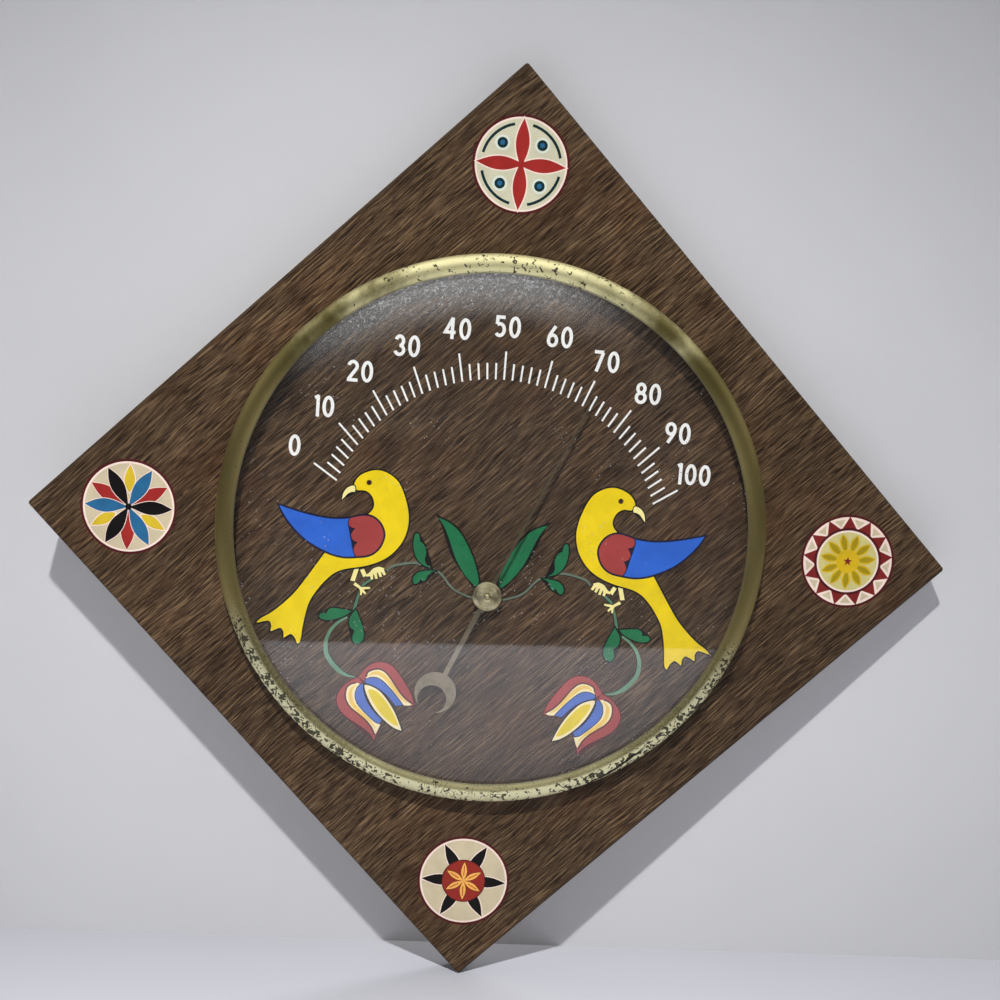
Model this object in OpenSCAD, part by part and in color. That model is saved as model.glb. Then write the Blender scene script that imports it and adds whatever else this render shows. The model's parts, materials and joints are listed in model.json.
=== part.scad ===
// Wall thermometer: a square walnut-grain plaque hung by one corner, with a round
// glazed dial in a rolled brass bezel and a bimetal movement let into its back.
// Millimetres. +Z is up, -Y points out of the wall into the room, +X is the viewer's right.
// The origin is on the wall, where the hanging nail carries the middle notch of the hanger.
// Every sub-part is drawn looking at the face: x to the right and y up from the middle of
// the plaque, z out of the wall from the wall's surface. Module hang() then stands it up.

/* [Plaque] */
// Side of the square plaque
plaque_side = 203.2; // [190:0.2:230]
// Thickness of the plaque with its wrap
plaque_t = 12.7; // [12.2:0.1:19]
// Thickness of the printed walnut-grain wrap on the face and the edges
wrap_t = 0.35; // [0.2:0.05:0.6]
// Radius of the plaque's rounded front edges and corners
arris_r = 1; // [0.8:0.1:3]

/* [Bezel and glass] */
// Height of the dial's middle above the plaque's middle
dial_up = 1.3; // [-2:0.1:3]
// Outer radius of the bezel
bezel_r = 84.7; // [80:0.1:90]
// Radius of the bezel's rolled section
roll_r = 3.5; // [3:0.1:4]
// Thickness of the brass sheet that the bezel is rolled from
bezel_sheet = 0.6; // [0.4:0.05:0.8]
// Rise of the bezel's crest above the glass
lip_rise = 1.2; // [0.9:0.1:2.2]
// Thickness of the glass
lens_t = 1.3; // [1.1:0.1:2.5]
// Gap between the edge of the glass and the inside of the bezel
lens_side_gap = 0.55; // [0.2:0.05:0.8]
// Gap between the glass and the top of the spindle
glass_gap = 0.25; // [0.2:0.05:1]
// Distance of the spacer ring outside the bezel's lip, where the eye does not reach it
spacer_back = 2.6; // [2:0.1:3]
// Width of the spacer ring's section
spacer_w = 2.2; // [1.8:0.1:2.8]
// Number of bezel tabs folded over at the back
tab_count = 4; // [3:1:8]
// Width of a bezel tab
tab_w = 8; // [5:0.5:12]
// Length of the folded end of a bezel tab
tab_fold = 5; // [3:0.5:8]
// Gap round a bezel tab in its slot
tab_gap = 0.2; // [0.1:0.05:0.5]

/* [Pointer] */
// Distance of the pointer's axis below the dial's middle
hub_drop = 19.6; // [15:0.1:22]
// Angle of the resting pointer clockwise from straight up
pointer_rest = 23.8; // [-56:0.1:56]
// Height of the pointer's underside above the face
pointer_lift = 3.4; // [3:0.1:6]
// Thickness of the pointer's sheet
hand_t = 0.3; // [0.25:0.05:0.8]
// Radius of the pointer's round middle
hand_hub_r = 3.4; // [3:0.1:4]
// Length of the needle from the axis
needle_len = 66.5; // [55:0.5:70]
// Width of the needle next to the hub
needle_root_w = 0.95; // [0.7:0.05:1.6]
// Width of the needle at its tip
needle_tip_w = 0.5; // [0.3:0.05:0.7]
// Width of the tail bar
tail_w = 1.5; // [1:0.1:2.5]
// Distance of the crescent's middle from the axis
crescent_reach = 34.4; // [28:0.1:40]
// Outer radius of the crescent
crescent_r = 6.5; // [5:0.1:8]
// Radius of the crescent's inner curve
crescent_hole_r = 4.5; // [4:0.1:4.8]
// Distance of the inner curve's middle beyond the crescent's middle
crescent_shift = 2.4; // [2.1:0.1:2.8]
// Radius of the brass button over the pointer
button_r = 4.5; // [4:0.1:6]
// Radius of the button's raised disc
button_disc_r = 3.5; // [3:0.1:3.8]
// Thickness of the button's flange
button_flange_t = 0.3; // [0.2:0.05:0.6]
// Height of the button's raised disc above its flange
button_disc_t = 0.35; // [0.2:0.05:0.6]
// Height of the spindle's round end above the button
pip_h = 0.2; // [0.1:0.05:0.4]

/* [Spindle and bushing] */
// Radius of the spindle
spindle_r = 1; // [0.8:0.05:1.3]
// Running clearance of the spindle in its two bearings, on the radius
run_gap = 0.04; // [0.02:0.01:0.08]
// Clearance between fixed pieces that fit each other, on the radius
fit_gap = 0.03; // [0.02:0.01:0.08]
// Radius of the threaded bushing's body
bushing_r = 3; // [2.6:0.1:3.2]
// Radius of the bushing's flange on the face
bushing_flange_r = 4.1; // [3.8:0.1:5]
// Thickness of the bushing's flange
bushing_flange_t = 0.8; // [0.5:0.1:1.2]
// Clearance of the bushing in the plaque, on the radius
bushing_hole_gap = 0.15; // [0.05:0.05:0.4]
// Length of the bushing that stands out of its nut
bushing_over = 0.2; // [0.1:0.1:0.6]
// Radius of the bushing's washer
washer_r = 4.8; // [4.4:0.1:6]
// Thickness of the bushing's washer
washer_t = 0.5; // [0.3:0.1:0.8]
// Width of the bushing's nut across its flats
nut_flats = 8; // [7.5:0.1:9]
// Thickness of the bushing's nut
nut_t = 1.8; // [1.4:0.1:2.4]
// Radius of the pointer's bush
pointer_bush_r = 1.9; // [1.7:0.1:2.2]
// Radius of the pointer bush's shoulder under the pointer
pointer_bush_flange_r = 2.6; // [2.3:0.1:3]
// Thickness of the pointer bush's shoulder
pointer_bush_flange_t = 0.5; // [0.3:0.1:0.8]
// Radius of the pointer bush's neck in the pointer
pointer_neck_r = 1.5; // [1.4:0.05:1.65]
// End play of the spindle at the face and at the bridge
end_gap = 0.25; // [0.15:0.05:0.5]

/* [Movement] */
// Radius of the pocket in the plaque's back
pocket_r = 14.2; // [14:0.1:18]
// Radius of the movement's base plate
plate_r = 13.4; // [13.2:0.1:13.8]
// Thickness of the movement's base plate
plate_t = 0.8; // [0.5:0.1:1.2]
// Distance of each pillar from the axis
pillar_reach = 11.6; // [11.3:0.1:11.8]
// Radius of a pillar
pillar_r = 1.4; // [1.3:0.1:1.5]
// Radius of a pillar's riveted end in the plate
rivet_r = 0.9; // [0.7:0.1:1.1]
// Thickness of the rear bridge
bridge_t = 0.8; // [0.6:0.1:1.2]
// Width of the rear bridge
bridge_w = 4.4; // [4:0.1:4.6]
// Radius of the boss on the bridge
boss_r = 2.7; // [2.4:0.1:3]
// Overhang of the boss's peened lip
boss_lip = 0.4; // [0.3:0.05:0.6]
// Thickness of the boss's peened lip
boss_lip_t = 0.25; // [0.2:0.05:0.4]
// Length of the spindle that stands out behind the bridge
spindle_over = 0.25; // [0.1:0.05:0.5]
// Room between the bridge and the inside of the back cover
rear_room = 1.95; // [1.4:0.05:3]
// Radius of a bridge screw's shank
bridge_screw_r = 0.7; // [0.5:0.05:0.8]
// Radius of a bridge screw's head
bridge_screw_head_r = 1.5; // [1.3:0.1:1.8]
// Thickness of a bridge screw's head
bridge_screw_head_t = 0.8; // [0.6:0.1:1]
// Depth of a bridge screw in its pillar
bridge_screw_depth = 3; // [2:0.5:3.5]

/* [Bimetal coil and regulator] */
// Number of turns in the coil
coil_turns = 6; // [4:1:6]
// Distance between neighbouring turns
coil_pitch = 1.1; // [0.9:0.05:1.15]
// Thickness of the bimetal ribbon
coil_t = 0.3; // [0.2:0.05:0.4]
// Width of the bimetal ribbon
coil_w = 2.6; // [2:0.1:2.9]
// Radius of the collet that the coil's inner end grips
collet_r = 2.2; // [1.8:0.1:2.4]
// Length of the collet
collet_len = 3; // [3:0.1:4]
// Gap between the ribbon and what it is fixed to
coil_seat_gap = 0.03; // [0.02:0.01:0.1]
// Radius of the stud that holds the coil's outer end
stud_r = 0.8; // [0.6:0.05:0.9]
// Thickness of the regulator's sheet
regulator_t = 0.6; // [0.4:0.1:0.8]
// Radius of the regulator's ring
regulator_ring_r = 4.4; // [4.2:0.1:5]
// Width of the regulator's arm and lever
regulator_arm_w = 2.2; // [1.8:0.1:2.6]
// Distance of the regulator's turned-up tip from the axis
lever_reach = 12.4; // [12:0.1:12.6]
// Thickness of the regulator's turned-up tip
lever_tip_t = 0.7; // [0.5:0.05:0.9]
// Swing of the regulator to each side
regulator_swing = 12; // [8:1:15]
// Running clearance of the regulator on the boss, on the radius and each face
regulator_gap = 0.05; // [0.02:0.01:0.09]

/* [Back] */
// Gap between the plaque and the wall, the thickness of the bumpers
foot_t = 3; // [2.9:0.1:5]
// Radius of a bumper
foot_r = 6; // [4:0.5:9]
// Distance of each bumper from the plaque's middle
foot_reach = 118; // [95:1:120]
// Thickness of the back cover's sheet
cover_t = 0.8; // [0.5:0.1:1]
// Depth of the back cover's raised middle
cover_dish = 0.8; // [0.6:0.1:1]
// Radius of the back cover's raised middle
cover_dish_r = 14; // [13.8:0.1:17]
// Width of the back cover's rim outside the pocket and the raised middle
cover_rim = 6; // [5.5:0.1:8]
// Number of vent holes in the back cover
vent_count = 8; // [4:1:10]
// Radius of a vent hole
vent_r = 1.5; // [1:0.1:1.8]
// Distance of the vent holes from the axis
vent_reach = 6.5; // [6:0.1:7.5]
// Gap round the regulator's tip in the cover's slot
slot_gap = 0.6; // [0.3:0.1:1]
// Number of screws in the back cover
cover_screw_count = 3; // [3:1:6]
// Radius of a cover screw's shank
cover_screw_r = 1; // [0.8:0.1:1.3]
// Length of a cover screw's shank in the plaque
cover_screw_len = 7; // [4:0.5:8]
// Radius of a cover screw's head
cover_screw_head_r = 2.1; // [1.9:0.1:2.4]
// Thickness of a cover screw's head
cover_screw_head_t = 1; // [0.8:0.1:1.3]
// Width of the driver slot in a screw's head
driver_slot_w = 0.5; // [0.4:0.1:0.6]
// Depth of the driver slot in a screw's head
driver_slot_depth = 0.4; // [0.2:0.1:0.5]

/* [Hanger] */
// Height of the hanging nail above the plaque's middle
nail_up = 98; // [92:1:104]
// Length of the hanger
hanger_len = 42; // [38:1:48]
// Height of the hanger's strip above its notches
hanger_h = 6; // [5:0.5:8]
// Thickness of the hanger's strip
hanger_t = 0.8; // [0.6:0.1:0.9]
// Length of the hanger's raised middle
bridge_len = 26; // [22:1:28]
// Height of the hanger's raised middle over its ends
hanger_raise = 1.3; // [0.8:0.1:1.9]
// Number of notches that can take the nail
notch_count = 7; // [3:2:9]
// Distance between neighbouring notches
notch_pitch = 2.6; // [2:0.1:2.8]
// Depth of a notch
notch_depth = 1.2; // [0.8:0.1:1.6]
// Radius of a hanger nail's shank
pin_r = 0.6; // [0.5:0.05:0.8]
// Length of a hanger nail in the plaque
pin_len = 8; // [6:0.5:10]
// Radius of a hanger nail's head
pin_head_r = 1.4; // [1.2:0.1:1.8]
// Thickness of a hanger nail's head
pin_head_t = 0.5; // [0.4:0.1:0.7]

/* [Hidden] */
$fn = 96;
// A cut runs this far past the faces it goes through
past = 1;
// Sides of the coil's outline in one turn
coil_steps = 24;

// Heights out of the wall: plaque, then the movement from its cover forwards
back_z = foot_t;
face_z = back_z + plaque_t;
cover_in_z = back_z - cover_dish;
bridge_back_z = cover_in_z + rear_room;
bridge_front_z = bridge_back_z + bridge_t;
regulator_z = bridge_front_z + regulator_gap;
lip_z = regulator_z + regulator_t + regulator_gap;
collet_z = lip_z + boss_lip_t + end_gap;
bushing_end_z = collet_z + collet_len + end_gap;
nut_z = bushing_end_z + bushing_over;
washer_z = nut_z + nut_t;
plate_z = washer_z + washer_t;
web_z = plate_z + plate_t;

// Heights of the pointer, the glass and the bezel over the face
hand_z = face_z + pointer_lift;
button_z = hand_z + hand_t;
button_top_z = button_z + button_flange_t + button_disc_t;
spindle_top_z = button_top_z + pip_h;
lens_z = spindle_top_z + glass_gap;
lens_top_z = lens_z + lens_t;
crest_z = lens_top_z + lip_rise;
roll_z = crest_z - roll_r;

// The rolled section and what fits inside it
roll_mid_r = bezel_r - roll_r;
lip_up = lens_top_z - roll_z;
opening_r = roll_mid_r - sqrt(roll_r * roll_r - lip_up * lip_up);
lens_r = roll_mid_r + sqrt(pow(roll_r - bezel_sheet, 2) - lip_up * lip_up) - lens_side_gap;
spacer_in_r = opening_r + spacer_back;
tab_deg = tab_w / bezel_r * 180 / PI;
tab_gap_deg = tab_gap / bezel_r * 180 / PI;

// Sizes that follow the movement
hub_up = dial_up - hub_drop;
bearing_r = spindle_r + run_gap;
seat_r = spindle_r + fit_gap;
coil_start_r = collet_r + coil_seat_gap + coil_t / 2;
coil_end_r = coil_start_r + coil_pitch * coil_turns;
stud_reach = coil_end_r + coil_t / 2 + coil_seat_gap + stud_r;
coil_z = collet_z + (collet_len - coil_w) / 2;
lever_tip_z = cover_in_z - cover_t / 2;
rim_start_r = max(pocket_r, cover_dish_r);
cover_r = rim_start_r + cover_rim;
cover_screw_reach = rim_start_r + cover_rim / 2;
hanger_z = back_z - hanger_t;
foot_spots = [[-foot_reach, 0], [foot_reach, 0], [0, -foot_reach]];
pin_x = (bridge_len + hanger_len) / 4;
pin_up = nail_up + hanger_h / 2;

// Stands a piece up against the wall, with the nail at the origin
module hang() {
    translate([0, 0, -nail_up]) rotate([90, 0, 0]) children();
}

// Places a piece about the dial's middle
module at_dial() {
    hang() translate([0, dial_up, 0]) children();
}

// Places a piece about the pointer's axis
module at_hub() {
    hang() translate([0, hub_up, 0]) children();
}

// A cylinder between two heights
module rod(r, z0, z1) {
    translate([0, 0, z0]) cylinder(r = r, h = z1 - z0);
}

// A flat ring between two heights
module ring(r_in, r_out, z0, z1) {
    rotate_extrude() translate([r_in, z0]) square([r_out - r_in, z1 - z0]);
}

// A square slab set on its corner, with round corners and round front edges
module corner_hung_slab(side, r, z0, z1) {
    flat = side - 2 * r;
    rotate([0, 0, 45]) {
        translate([-flat / 2, -flat / 2, z0]) cube([flat, flat, z1 - z0]);
        for (a = [0:90:270]) rotate([0, 0, a]) {
            translate([-flat / 2, 0, z0]) cube([flat, flat / 2 + r, z1 - r - z0]);
            translate([-flat / 2, flat / 2, z1 - r]) rotate([0, 90, 0]) cylinder(r = r, h = flat);
            translate([flat / 2, flat / 2, z0]) cylinder(r = r, h = z1 - r - z0);
            translate([flat / 2, flat / 2, z1 - r]) sphere(r = r);
        }
    }
}

// Repeats a piece at each bezel tab, in the middle of the plaque's sides
module each_tab() {
    for (i = [0:tab_count - 1]) rotate([0, 0, 45 + i * 360 / tab_count]) children();
}

// Cuts through the plaque for the bezel's tabs
module tab_slots() {
    each_tab() rotate([0, 0, -tab_deg / 2 - tab_gap_deg])
        rotate_extrude(angle = tab_deg + 2 * tab_gap_deg)
        translate([bezel_r - bezel_sheet - tab_gap, back_z - past])
        square([bezel_sheet + 2 * tab_gap, plaque_t + 2 * past]);
}

// Repeats a piece at each screw of the back cover, one of them straight up
module each_cover_screw() {
    for (i = [0:cover_screw_count - 1]) rotate([0, 0, 90 + i * 360 / cover_screw_count])
        translate([cover_screw_reach, 0, 0]) children();
}

// Repeats a piece at both pillars
module each_pillar() {
    for (side = [-1, 1]) translate([side * pillar_reach, 0, 0]) children();
}

// Repeats a piece at both nails of the hanger
module each_pin() {
    for (side = [-1, 1]) translate([side * pin_x, pin_up, 0]) children();
}

// A round-headed screw, head to the rear, with a driver slot
module slotted_screw(shank_r, tip_z, head_r, head_t, seat_z) {
    difference() {
        union() {
            rod(shank_r, seat_z, tip_z);
            rod(head_r, seat_z - head_t, seat_z);
        }
        translate([-head_r - past, -driver_slot_w / 2, seat_z - head_t - past])
            cube([2 * (head_r + past), driver_slot_w, past + driver_slot_depth]);
    }
}

// The wood-chip core, routed from the back for the movement
module board() {
    color("#8b6a45") hang() difference() {
        corner_hung_slab(plaque_side - 2 * wrap_t, arris_r - wrap_t, back_z, face_z - wrap_t);
        translate([0, dial_up, 0]) tab_slots();
        translate([0, hub_up, 0]) {
            rod(pocket_r, back_z - past, web_z);
            rod(bushing_r + bushing_hole_gap, web_z - past, face_z + past);
            each_cover_screw() rod(cover_screw_r + fit_gap, back_z - past, back_z + cover_screw_len + fit_gap);
        }
        each_pin() rod(pin_r + fit_gap, back_z - past, back_z + pin_len + fit_gap);
    }
}

// The printed walnut-grain wrap over the core's face and edges
module walnut_wrap() {
    color("#4a3a2e") hang() difference() {
        corner_hung_slab(plaque_side, arris_r, back_z, face_z);
        corner_hung_slab(plaque_side - 2 * wrap_t, arris_r - wrap_t, back_z - past, face_z - wrap_t);
        translate([0, dial_up, 0]) tab_slots();
        translate([0, hub_up, 0]) rod(bushing_r + bushing_hole_gap, back_z, face_z + past);
    }
}

// The black ring that holds the glass off the face
module spacer_ring() {
    color("#1c1c1c") at_dial() ring(spacer_in_r, spacer_in_r + spacer_w, face_z, lens_z);
}

// The flat glass
module lens() {
    color("#cfd6d8", 0.3) at_dial() rod(lens_r, lens_z, lens_top_z);
}

// Section of the bezel through a tab: a skirt that runs through the plaque and folds in
// along its back, and a roll that ends on the glass
module bezel_section() {
    foot_z = back_z - bezel_sheet;
    translate([bezel_r - bezel_sheet, foot_z]) square([bezel_sheet, roll_z - foot_z]);
    translate([bezel_r - tab_fold, foot_z]) square([tab_fold, bezel_sheet]);
    translate([roll_mid_r, roll_z]) difference() {
        circle(r = roll_r);
        circle(r = roll_r - bezel_sheet);
        translate([-roll_r - past, -roll_r - past]) square([roll_r + past, roll_r + past + lip_up]);
        translate([0, -roll_r - past]) square([roll_r + past, roll_r + past]);
    }
}

// The metal cut away behind the face, between one bezel tab and the next
module between_tabs() {
    rotate([0, 0, tab_deg / 2]) rotate_extrude(angle = 360 / tab_count - tab_deg)
        translate([bezel_r - tab_fold - past, back_z - bezel_sheet - past])
        square([tab_fold + 2 * past, plaque_t + bezel_sheet + past]);
}

// The rolled brass bezel with its tabs
module bezel() {
    color("#a8924a") at_dial() difference() {
        rotate_extrude() bezel_section();
        each_tab() between_tabs();
    }
}

// The flanged bushing that the spindle turns in
module front_bushing() {
    color("#b59a55") at_hub() difference() {
        union() {
            rod(bushing_flange_r, face_z, face_z + bushing_flange_t);
            rod(bushing_r, bushing_end_z, face_z + bushing_flange_t);
        }
        rod(bearing_r, bushing_end_z - past, face_z + bushing_flange_t + past);
    }
}

// The washer under the bushing's nut
module bushing_washer() {
    color("#9a9a96") at_hub() ring(bushing_r + fit_gap, washer_r, washer_z, plate_z);
}

// The nut that clamps the movement to the plaque
module bushing_nut() {
    color("#b59a55") at_hub() difference() {
        translate([0, 0, nut_z]) cylinder(r = nut_flats / sqrt(3), h = nut_t, $fn = 6);
        rod(bushing_r + fit_gap, nut_z - past, washer_z + past);
    }
}

// The round base plate of the movement
module movement_plate() {
    color("#a9a28e") at_hub() difference() {
        rod(plate_r, plate_z, web_z);
        rod(bushing_r + fit_gap, plate_z - past, web_z + past);
        each_pillar() rod(rivet_r + fit_gap, plate_z - past, web_z + past);
    }
}

// The two pillars, riveted into the plate and tapped for the bridge screws
module pillars() {
    color("#b8b4a8") at_hub() each_pillar() difference() {
        union() {
            rod(pillar_r, bridge_front_z, plate_z);
            rod(rivet_r, plate_z, web_z);
        }
        rod(bridge_screw_r + fit_gap, bridge_front_z - past, bridge_front_z + bridge_screw_depth + fit_gap);
    }
}

// The bridge that carries the spindle's rear end, with a boss for the regulator
module rear_bridge() {
    color("#a9a28e") at_hub() difference() {
        union() {
            translate([-pillar_reach, -bridge_w / 2, bridge_back_z])
                cube([2 * pillar_reach, bridge_w, bridge_t]);
            each_pillar() rod(bridge_w / 2, bridge_back_z, bridge_front_z);
            rod(boss_r + boss_lip, bridge_back_z, bridge_front_z);
            rod(boss_r, bridge_back_z, lip_z);
            rod(boss_r + boss_lip, lip_z, lip_z + boss_lip_t);
        }
        rod(bearing_r, bridge_back_z - past, lip_z + boss_lip_t + past);
        each_pillar() rod(bridge_screw_r + fit_gap, bridge_back_z - past, bridge_front_z + past);
    }
}

// The two screws that hold the bridge on the pillars
module bridge_screws() {
    color("#8f8f8c") at_hub() each_pillar()
        slotted_screw(bridge_screw_r, bridge_front_z + bridge_screw_depth,
            bridge_screw_head_r, bridge_screw_head_t, bridge_back_z);
}

// The regulator: turning it on the boss carries the coil's outer end round, which sets
// the reading. Its tip is turned up through the slot in the back cover.
module regulator() {
    color("#b0b0aa") at_hub() {
        translate([0, 0, regulator_z]) linear_extrude(regulator_t) difference() {
            union() {
                circle(r = regulator_ring_r);
                translate([-regulator_arm_w / 2, 0]) square([regulator_arm_w, stud_reach]);
                translate([0, stud_reach]) circle(r = stud_r + regulator_t);
                translate([-regulator_arm_w / 2, -lever_reach]) square([regulator_arm_w, lever_reach]);
            }
            circle(r = boss_r + regulator_gap);
        }
        translate([-regulator_arm_w / 2, -lever_reach, lever_tip_z])
            cube([regulator_arm_w, lever_tip_t, regulator_z + regulator_t - lever_tip_z]);
    }
}

// The stud on the regulator that holds the coil's outer end
module coil_stud() {
    color("#b59a55") at_hub() translate([0, stud_reach, 0])
        rod(stud_r, regulator_z + regulator_t, coil_z + coil_w);
}

// A point of the ribbon's middle line, at a number of turns from its inner end
function coil_point(turn, side) =
    let (r = coil_start_r + coil_pitch * turn + side * coil_t / 2, a = 90 + 360 * turn)
    [r * cos(a), r * sin(a)];

coil_count = coil_turns * coil_steps;
coil_outer = [for (i = [0:coil_count]) coil_point(i / coil_steps, 1)];
coil_inner = [for (i = [coil_count:-1:0]) coil_point(i / coil_steps, -1)];
// Least gap between a turn and the next one, from the outer side of each point to the
// inner side of the same point one turn on
coil_self_gap = min([for (i = [0:coil_count - coil_steps])
    norm(coil_point(i / coil_steps + 1, -1) - coil_outer[i])]);
echo(coil_self_gap = coil_self_gap);

// The bimetal ribbon, one unbroken spiral from the collet to the stud
module bimetal_coil() {
    color("#c8a060") at_hub() translate([0, 0, coil_z])
        linear_extrude(coil_w) polygon(concat(coil_outer, coil_inner));
}

// The collet that joins the coil's inner end to the spindle
module coil_collet() {
    color("#b59a55") at_hub() ring(seat_r, collet_r, collet_z, collet_z + collet_len);
}

// The spindle, with a round front end that shows in the button
module spindle() {
    color("#c9b676") at_hub() {
        rod(spindle_r, bridge_back_z - spindle_over, spindle_top_z - spindle_r);
        translate([0, 0, spindle_top_z - spindle_r]) sphere(r = spindle_r);
    }
}

// The shouldered bush that joins the pointer to the spindle
module pointer_bush() {
    color("#b59a55") at_hub() difference() {
        union() {
            rod(pointer_bush_r, face_z + bushing_flange_t + end_gap, hand_z);
            rod(pointer_bush_flange_r, hand_z - pointer_bush_flange_t, hand_z);
            rod(pointer_neck_r, hand_z, button_z);
        }
        rod(seat_r, face_z, button_z + past);
    }
}

// Outline of the pointer, pointing straight up: needle, round middle, bar and crescent
module pointer_outline() {
    difference() {
        union() {
            circle(r = hand_hub_r);
            polygon([[-needle_root_w / 2, 0], [needle_root_w / 2, 0],
                [needle_tip_w / 2, needle_len - needle_tip_w], [0, needle_len],
                [-needle_tip_w / 2, needle_len - needle_tip_w]]);
            translate([-tail_w / 2, -crescent_reach + crescent_shift])
                square([tail_w, crescent_reach - crescent_shift]);
            translate([0, -crescent_reach]) circle(r = crescent_r);
        }
        translate([0, -crescent_reach - crescent_shift]) circle(r = crescent_hole_r);
        circle(r = pointer_neck_r + fit_gap);
    }
}

// The pointer at its resting angle
module pointer() {
    color("#8d8a78") at_hub() rotate([0, 0, -pointer_rest])
        translate([0, 0, hand_z]) linear_extrude(hand_t) pointer_outline();
}

// The turned brass button over the pointer
module hub_button() {
    color("#bfa65e") at_hub() difference() {
        union() {
            rod(button_r, button_z, button_z + button_flange_t);
            rod(button_disc_r, button_z, button_top_z);
        }
        rod(seat_r, button_z - past, button_top_z + past);
    }
}

// The pressed back cover, vented, with a slot for the regulator's tip
module back_cover() {
    tip_deg = regulator_swing + atan((regulator_arm_w / 2 + slot_gap) / lever_reach);
    color("#77746a") at_hub() difference() {
        union() {
            ring(cover_dish_r - cover_t, cover_r, back_z - cover_t, back_z);
            rod(cover_dish_r, cover_in_z - cover_t, cover_in_z);
            ring(cover_dish_r - cover_t, cover_dish_r, cover_in_z - cover_t, back_z);
        }
        for (i = [0:vent_count - 1]) rotate([0, 0, i * 360 / vent_count])
            translate([vent_reach, 0, 0]) rod(vent_r, cover_in_z - cover_t - past, cover_in_z + past);
        rotate([0, 0, -90 - tip_deg]) rotate_extrude(angle = 2 * tip_deg)
            translate([lever_reach - lever_tip_t - slot_gap, cover_in_z - cover_t - past])
            square([lever_tip_t + 2 * slot_gap, cover_t + 2 * past]);
        each_cover_screw() rod(cover_screw_r + fit_gap, back_z - cover_t - past, back_z + past);
    }
}

// The screws of the back cover
module cover_screws() {
    color("#8f8f8c") at_hub() each_cover_screw()
        slotted_screw(cover_screw_r, back_z + cover_screw_len,
            cover_screw_head_r, cover_screw_head_t, back_z - cover_t);
}

// Outline of the hanger's raised middle, with notches along its lower edge
module notched_strip() {
    difference() {
        translate([-bridge_len / 2, -notch_depth]) square([bridge_len, notch_depth + hanger_h]);
        for (i = [-(notch_count - 1) / 2:(notch_count - 1) / 2])
            polygon([[i * notch_pitch - notch_pitch / 2, -notch_depth - past],
                [i * notch_pitch - notch_pitch / 2, -notch_depth],
                [i * notch_pitch, 0],
                [i * notch_pitch + notch_pitch / 2, -notch_depth],
                [i * notch_pitch + notch_pitch / 2, -notch_depth - past]]);
    }
}

// The sawtooth hanger: two flat ends nailed to the plaque and a raised notched middle
module hanger() {
    color("#a8a8a4") hang() difference() {
        translate([0, nail_up, 0]) {
            translate([0, 0, hanger_z - hanger_raise]) linear_extrude(hanger_t) notched_strip();
            for (side = [0, 1]) mirror([side, 0, 0]) translate([bridge_len / 2 - hanger_t, 0, 0]) {
                translate([0, 0, hanger_z - hanger_raise]) cube([hanger_t, hanger_h, hanger_raise + hanger_t]);
                translate([0, 0, hanger_z]) cube([(hanger_len - bridge_len) / 2 + hanger_t, hanger_h, hanger_t]);
            }
        }
        each_pin() rod(pin_r + fit_gap, hanger_z - past, back_z + past);
    }
}

// The nails that hold the hanger
module hanger_nails() {
    color("#b0a070") hang() each_pin() {
        rod(pin_r, hanger_z, back_z + pin_len);
        rod(pin_head_r, hanger_z - pin_head_t, hanger_z);
    }
}

// The bumpers that keep the plaque off the wall
module wall_bumpers() {
    color("#3a3a38") hang() for (spot = foot_spots) translate(spot) rod(foot_r, 0, back_z);
}

board();
walnut_wrap();
spacer_ring();
lens();
bezel();
front_bushing();
bushing_washer();
bushing_nut();
movement_plate();
pillars();
rear_bridge();
bridge_screws();
regulator();
coil_stud();
bimetal_coil();
coil_collet();
spindle();
pointer_bush();
pointer();
hub_button();
back_cover();
cover_screws();
hanger();
hanger_nails();
wall_bumpers();
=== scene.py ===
"""Looks of the wall thermometer: the printed dial and rosettes, the materials, the stage, lamps and camera.

Metres in the CAD frame: +Z up, -Y out of the wall, +X the viewer's right. Flat shapes are drawn in
millimetres on the face, x to the right and y up from the middle of the plaque, and then stood up.
"""

import json
import math

import bpy
from mathutils import Matrix, Vector
from mathutils.geometry import delaunay_2d_cdt


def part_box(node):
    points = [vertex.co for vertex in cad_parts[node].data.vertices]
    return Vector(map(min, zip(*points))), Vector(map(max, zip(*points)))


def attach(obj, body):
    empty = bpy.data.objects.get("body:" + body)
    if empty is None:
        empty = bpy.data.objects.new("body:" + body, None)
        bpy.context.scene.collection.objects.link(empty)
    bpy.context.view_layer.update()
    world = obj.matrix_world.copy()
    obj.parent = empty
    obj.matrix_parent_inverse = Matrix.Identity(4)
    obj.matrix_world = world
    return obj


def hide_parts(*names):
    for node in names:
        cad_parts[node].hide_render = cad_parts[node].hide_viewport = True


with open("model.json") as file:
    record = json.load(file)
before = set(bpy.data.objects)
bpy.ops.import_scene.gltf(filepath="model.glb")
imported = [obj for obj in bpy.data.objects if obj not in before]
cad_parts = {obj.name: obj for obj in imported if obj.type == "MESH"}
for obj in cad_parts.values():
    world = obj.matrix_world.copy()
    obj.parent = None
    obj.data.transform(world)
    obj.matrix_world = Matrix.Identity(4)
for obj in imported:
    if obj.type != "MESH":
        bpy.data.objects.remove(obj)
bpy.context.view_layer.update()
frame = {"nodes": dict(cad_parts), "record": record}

MM = 0.001
# Ends a point at which an outline turns sharply
CORNER = True

wrap_low, wrap_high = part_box("walnut_wrap")
FACE_Y = wrap_low.y
MIDDLE_Z = (wrap_low.z + wrap_high.z) / 2
bezel_low, bezel_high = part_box("bezel")
DIAL_Z = (bezel_low.z + bezel_high.z) / 2
button_low, button_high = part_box("hub_button")
HUB_Z = (button_low.z + button_high.z) / 2


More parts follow.
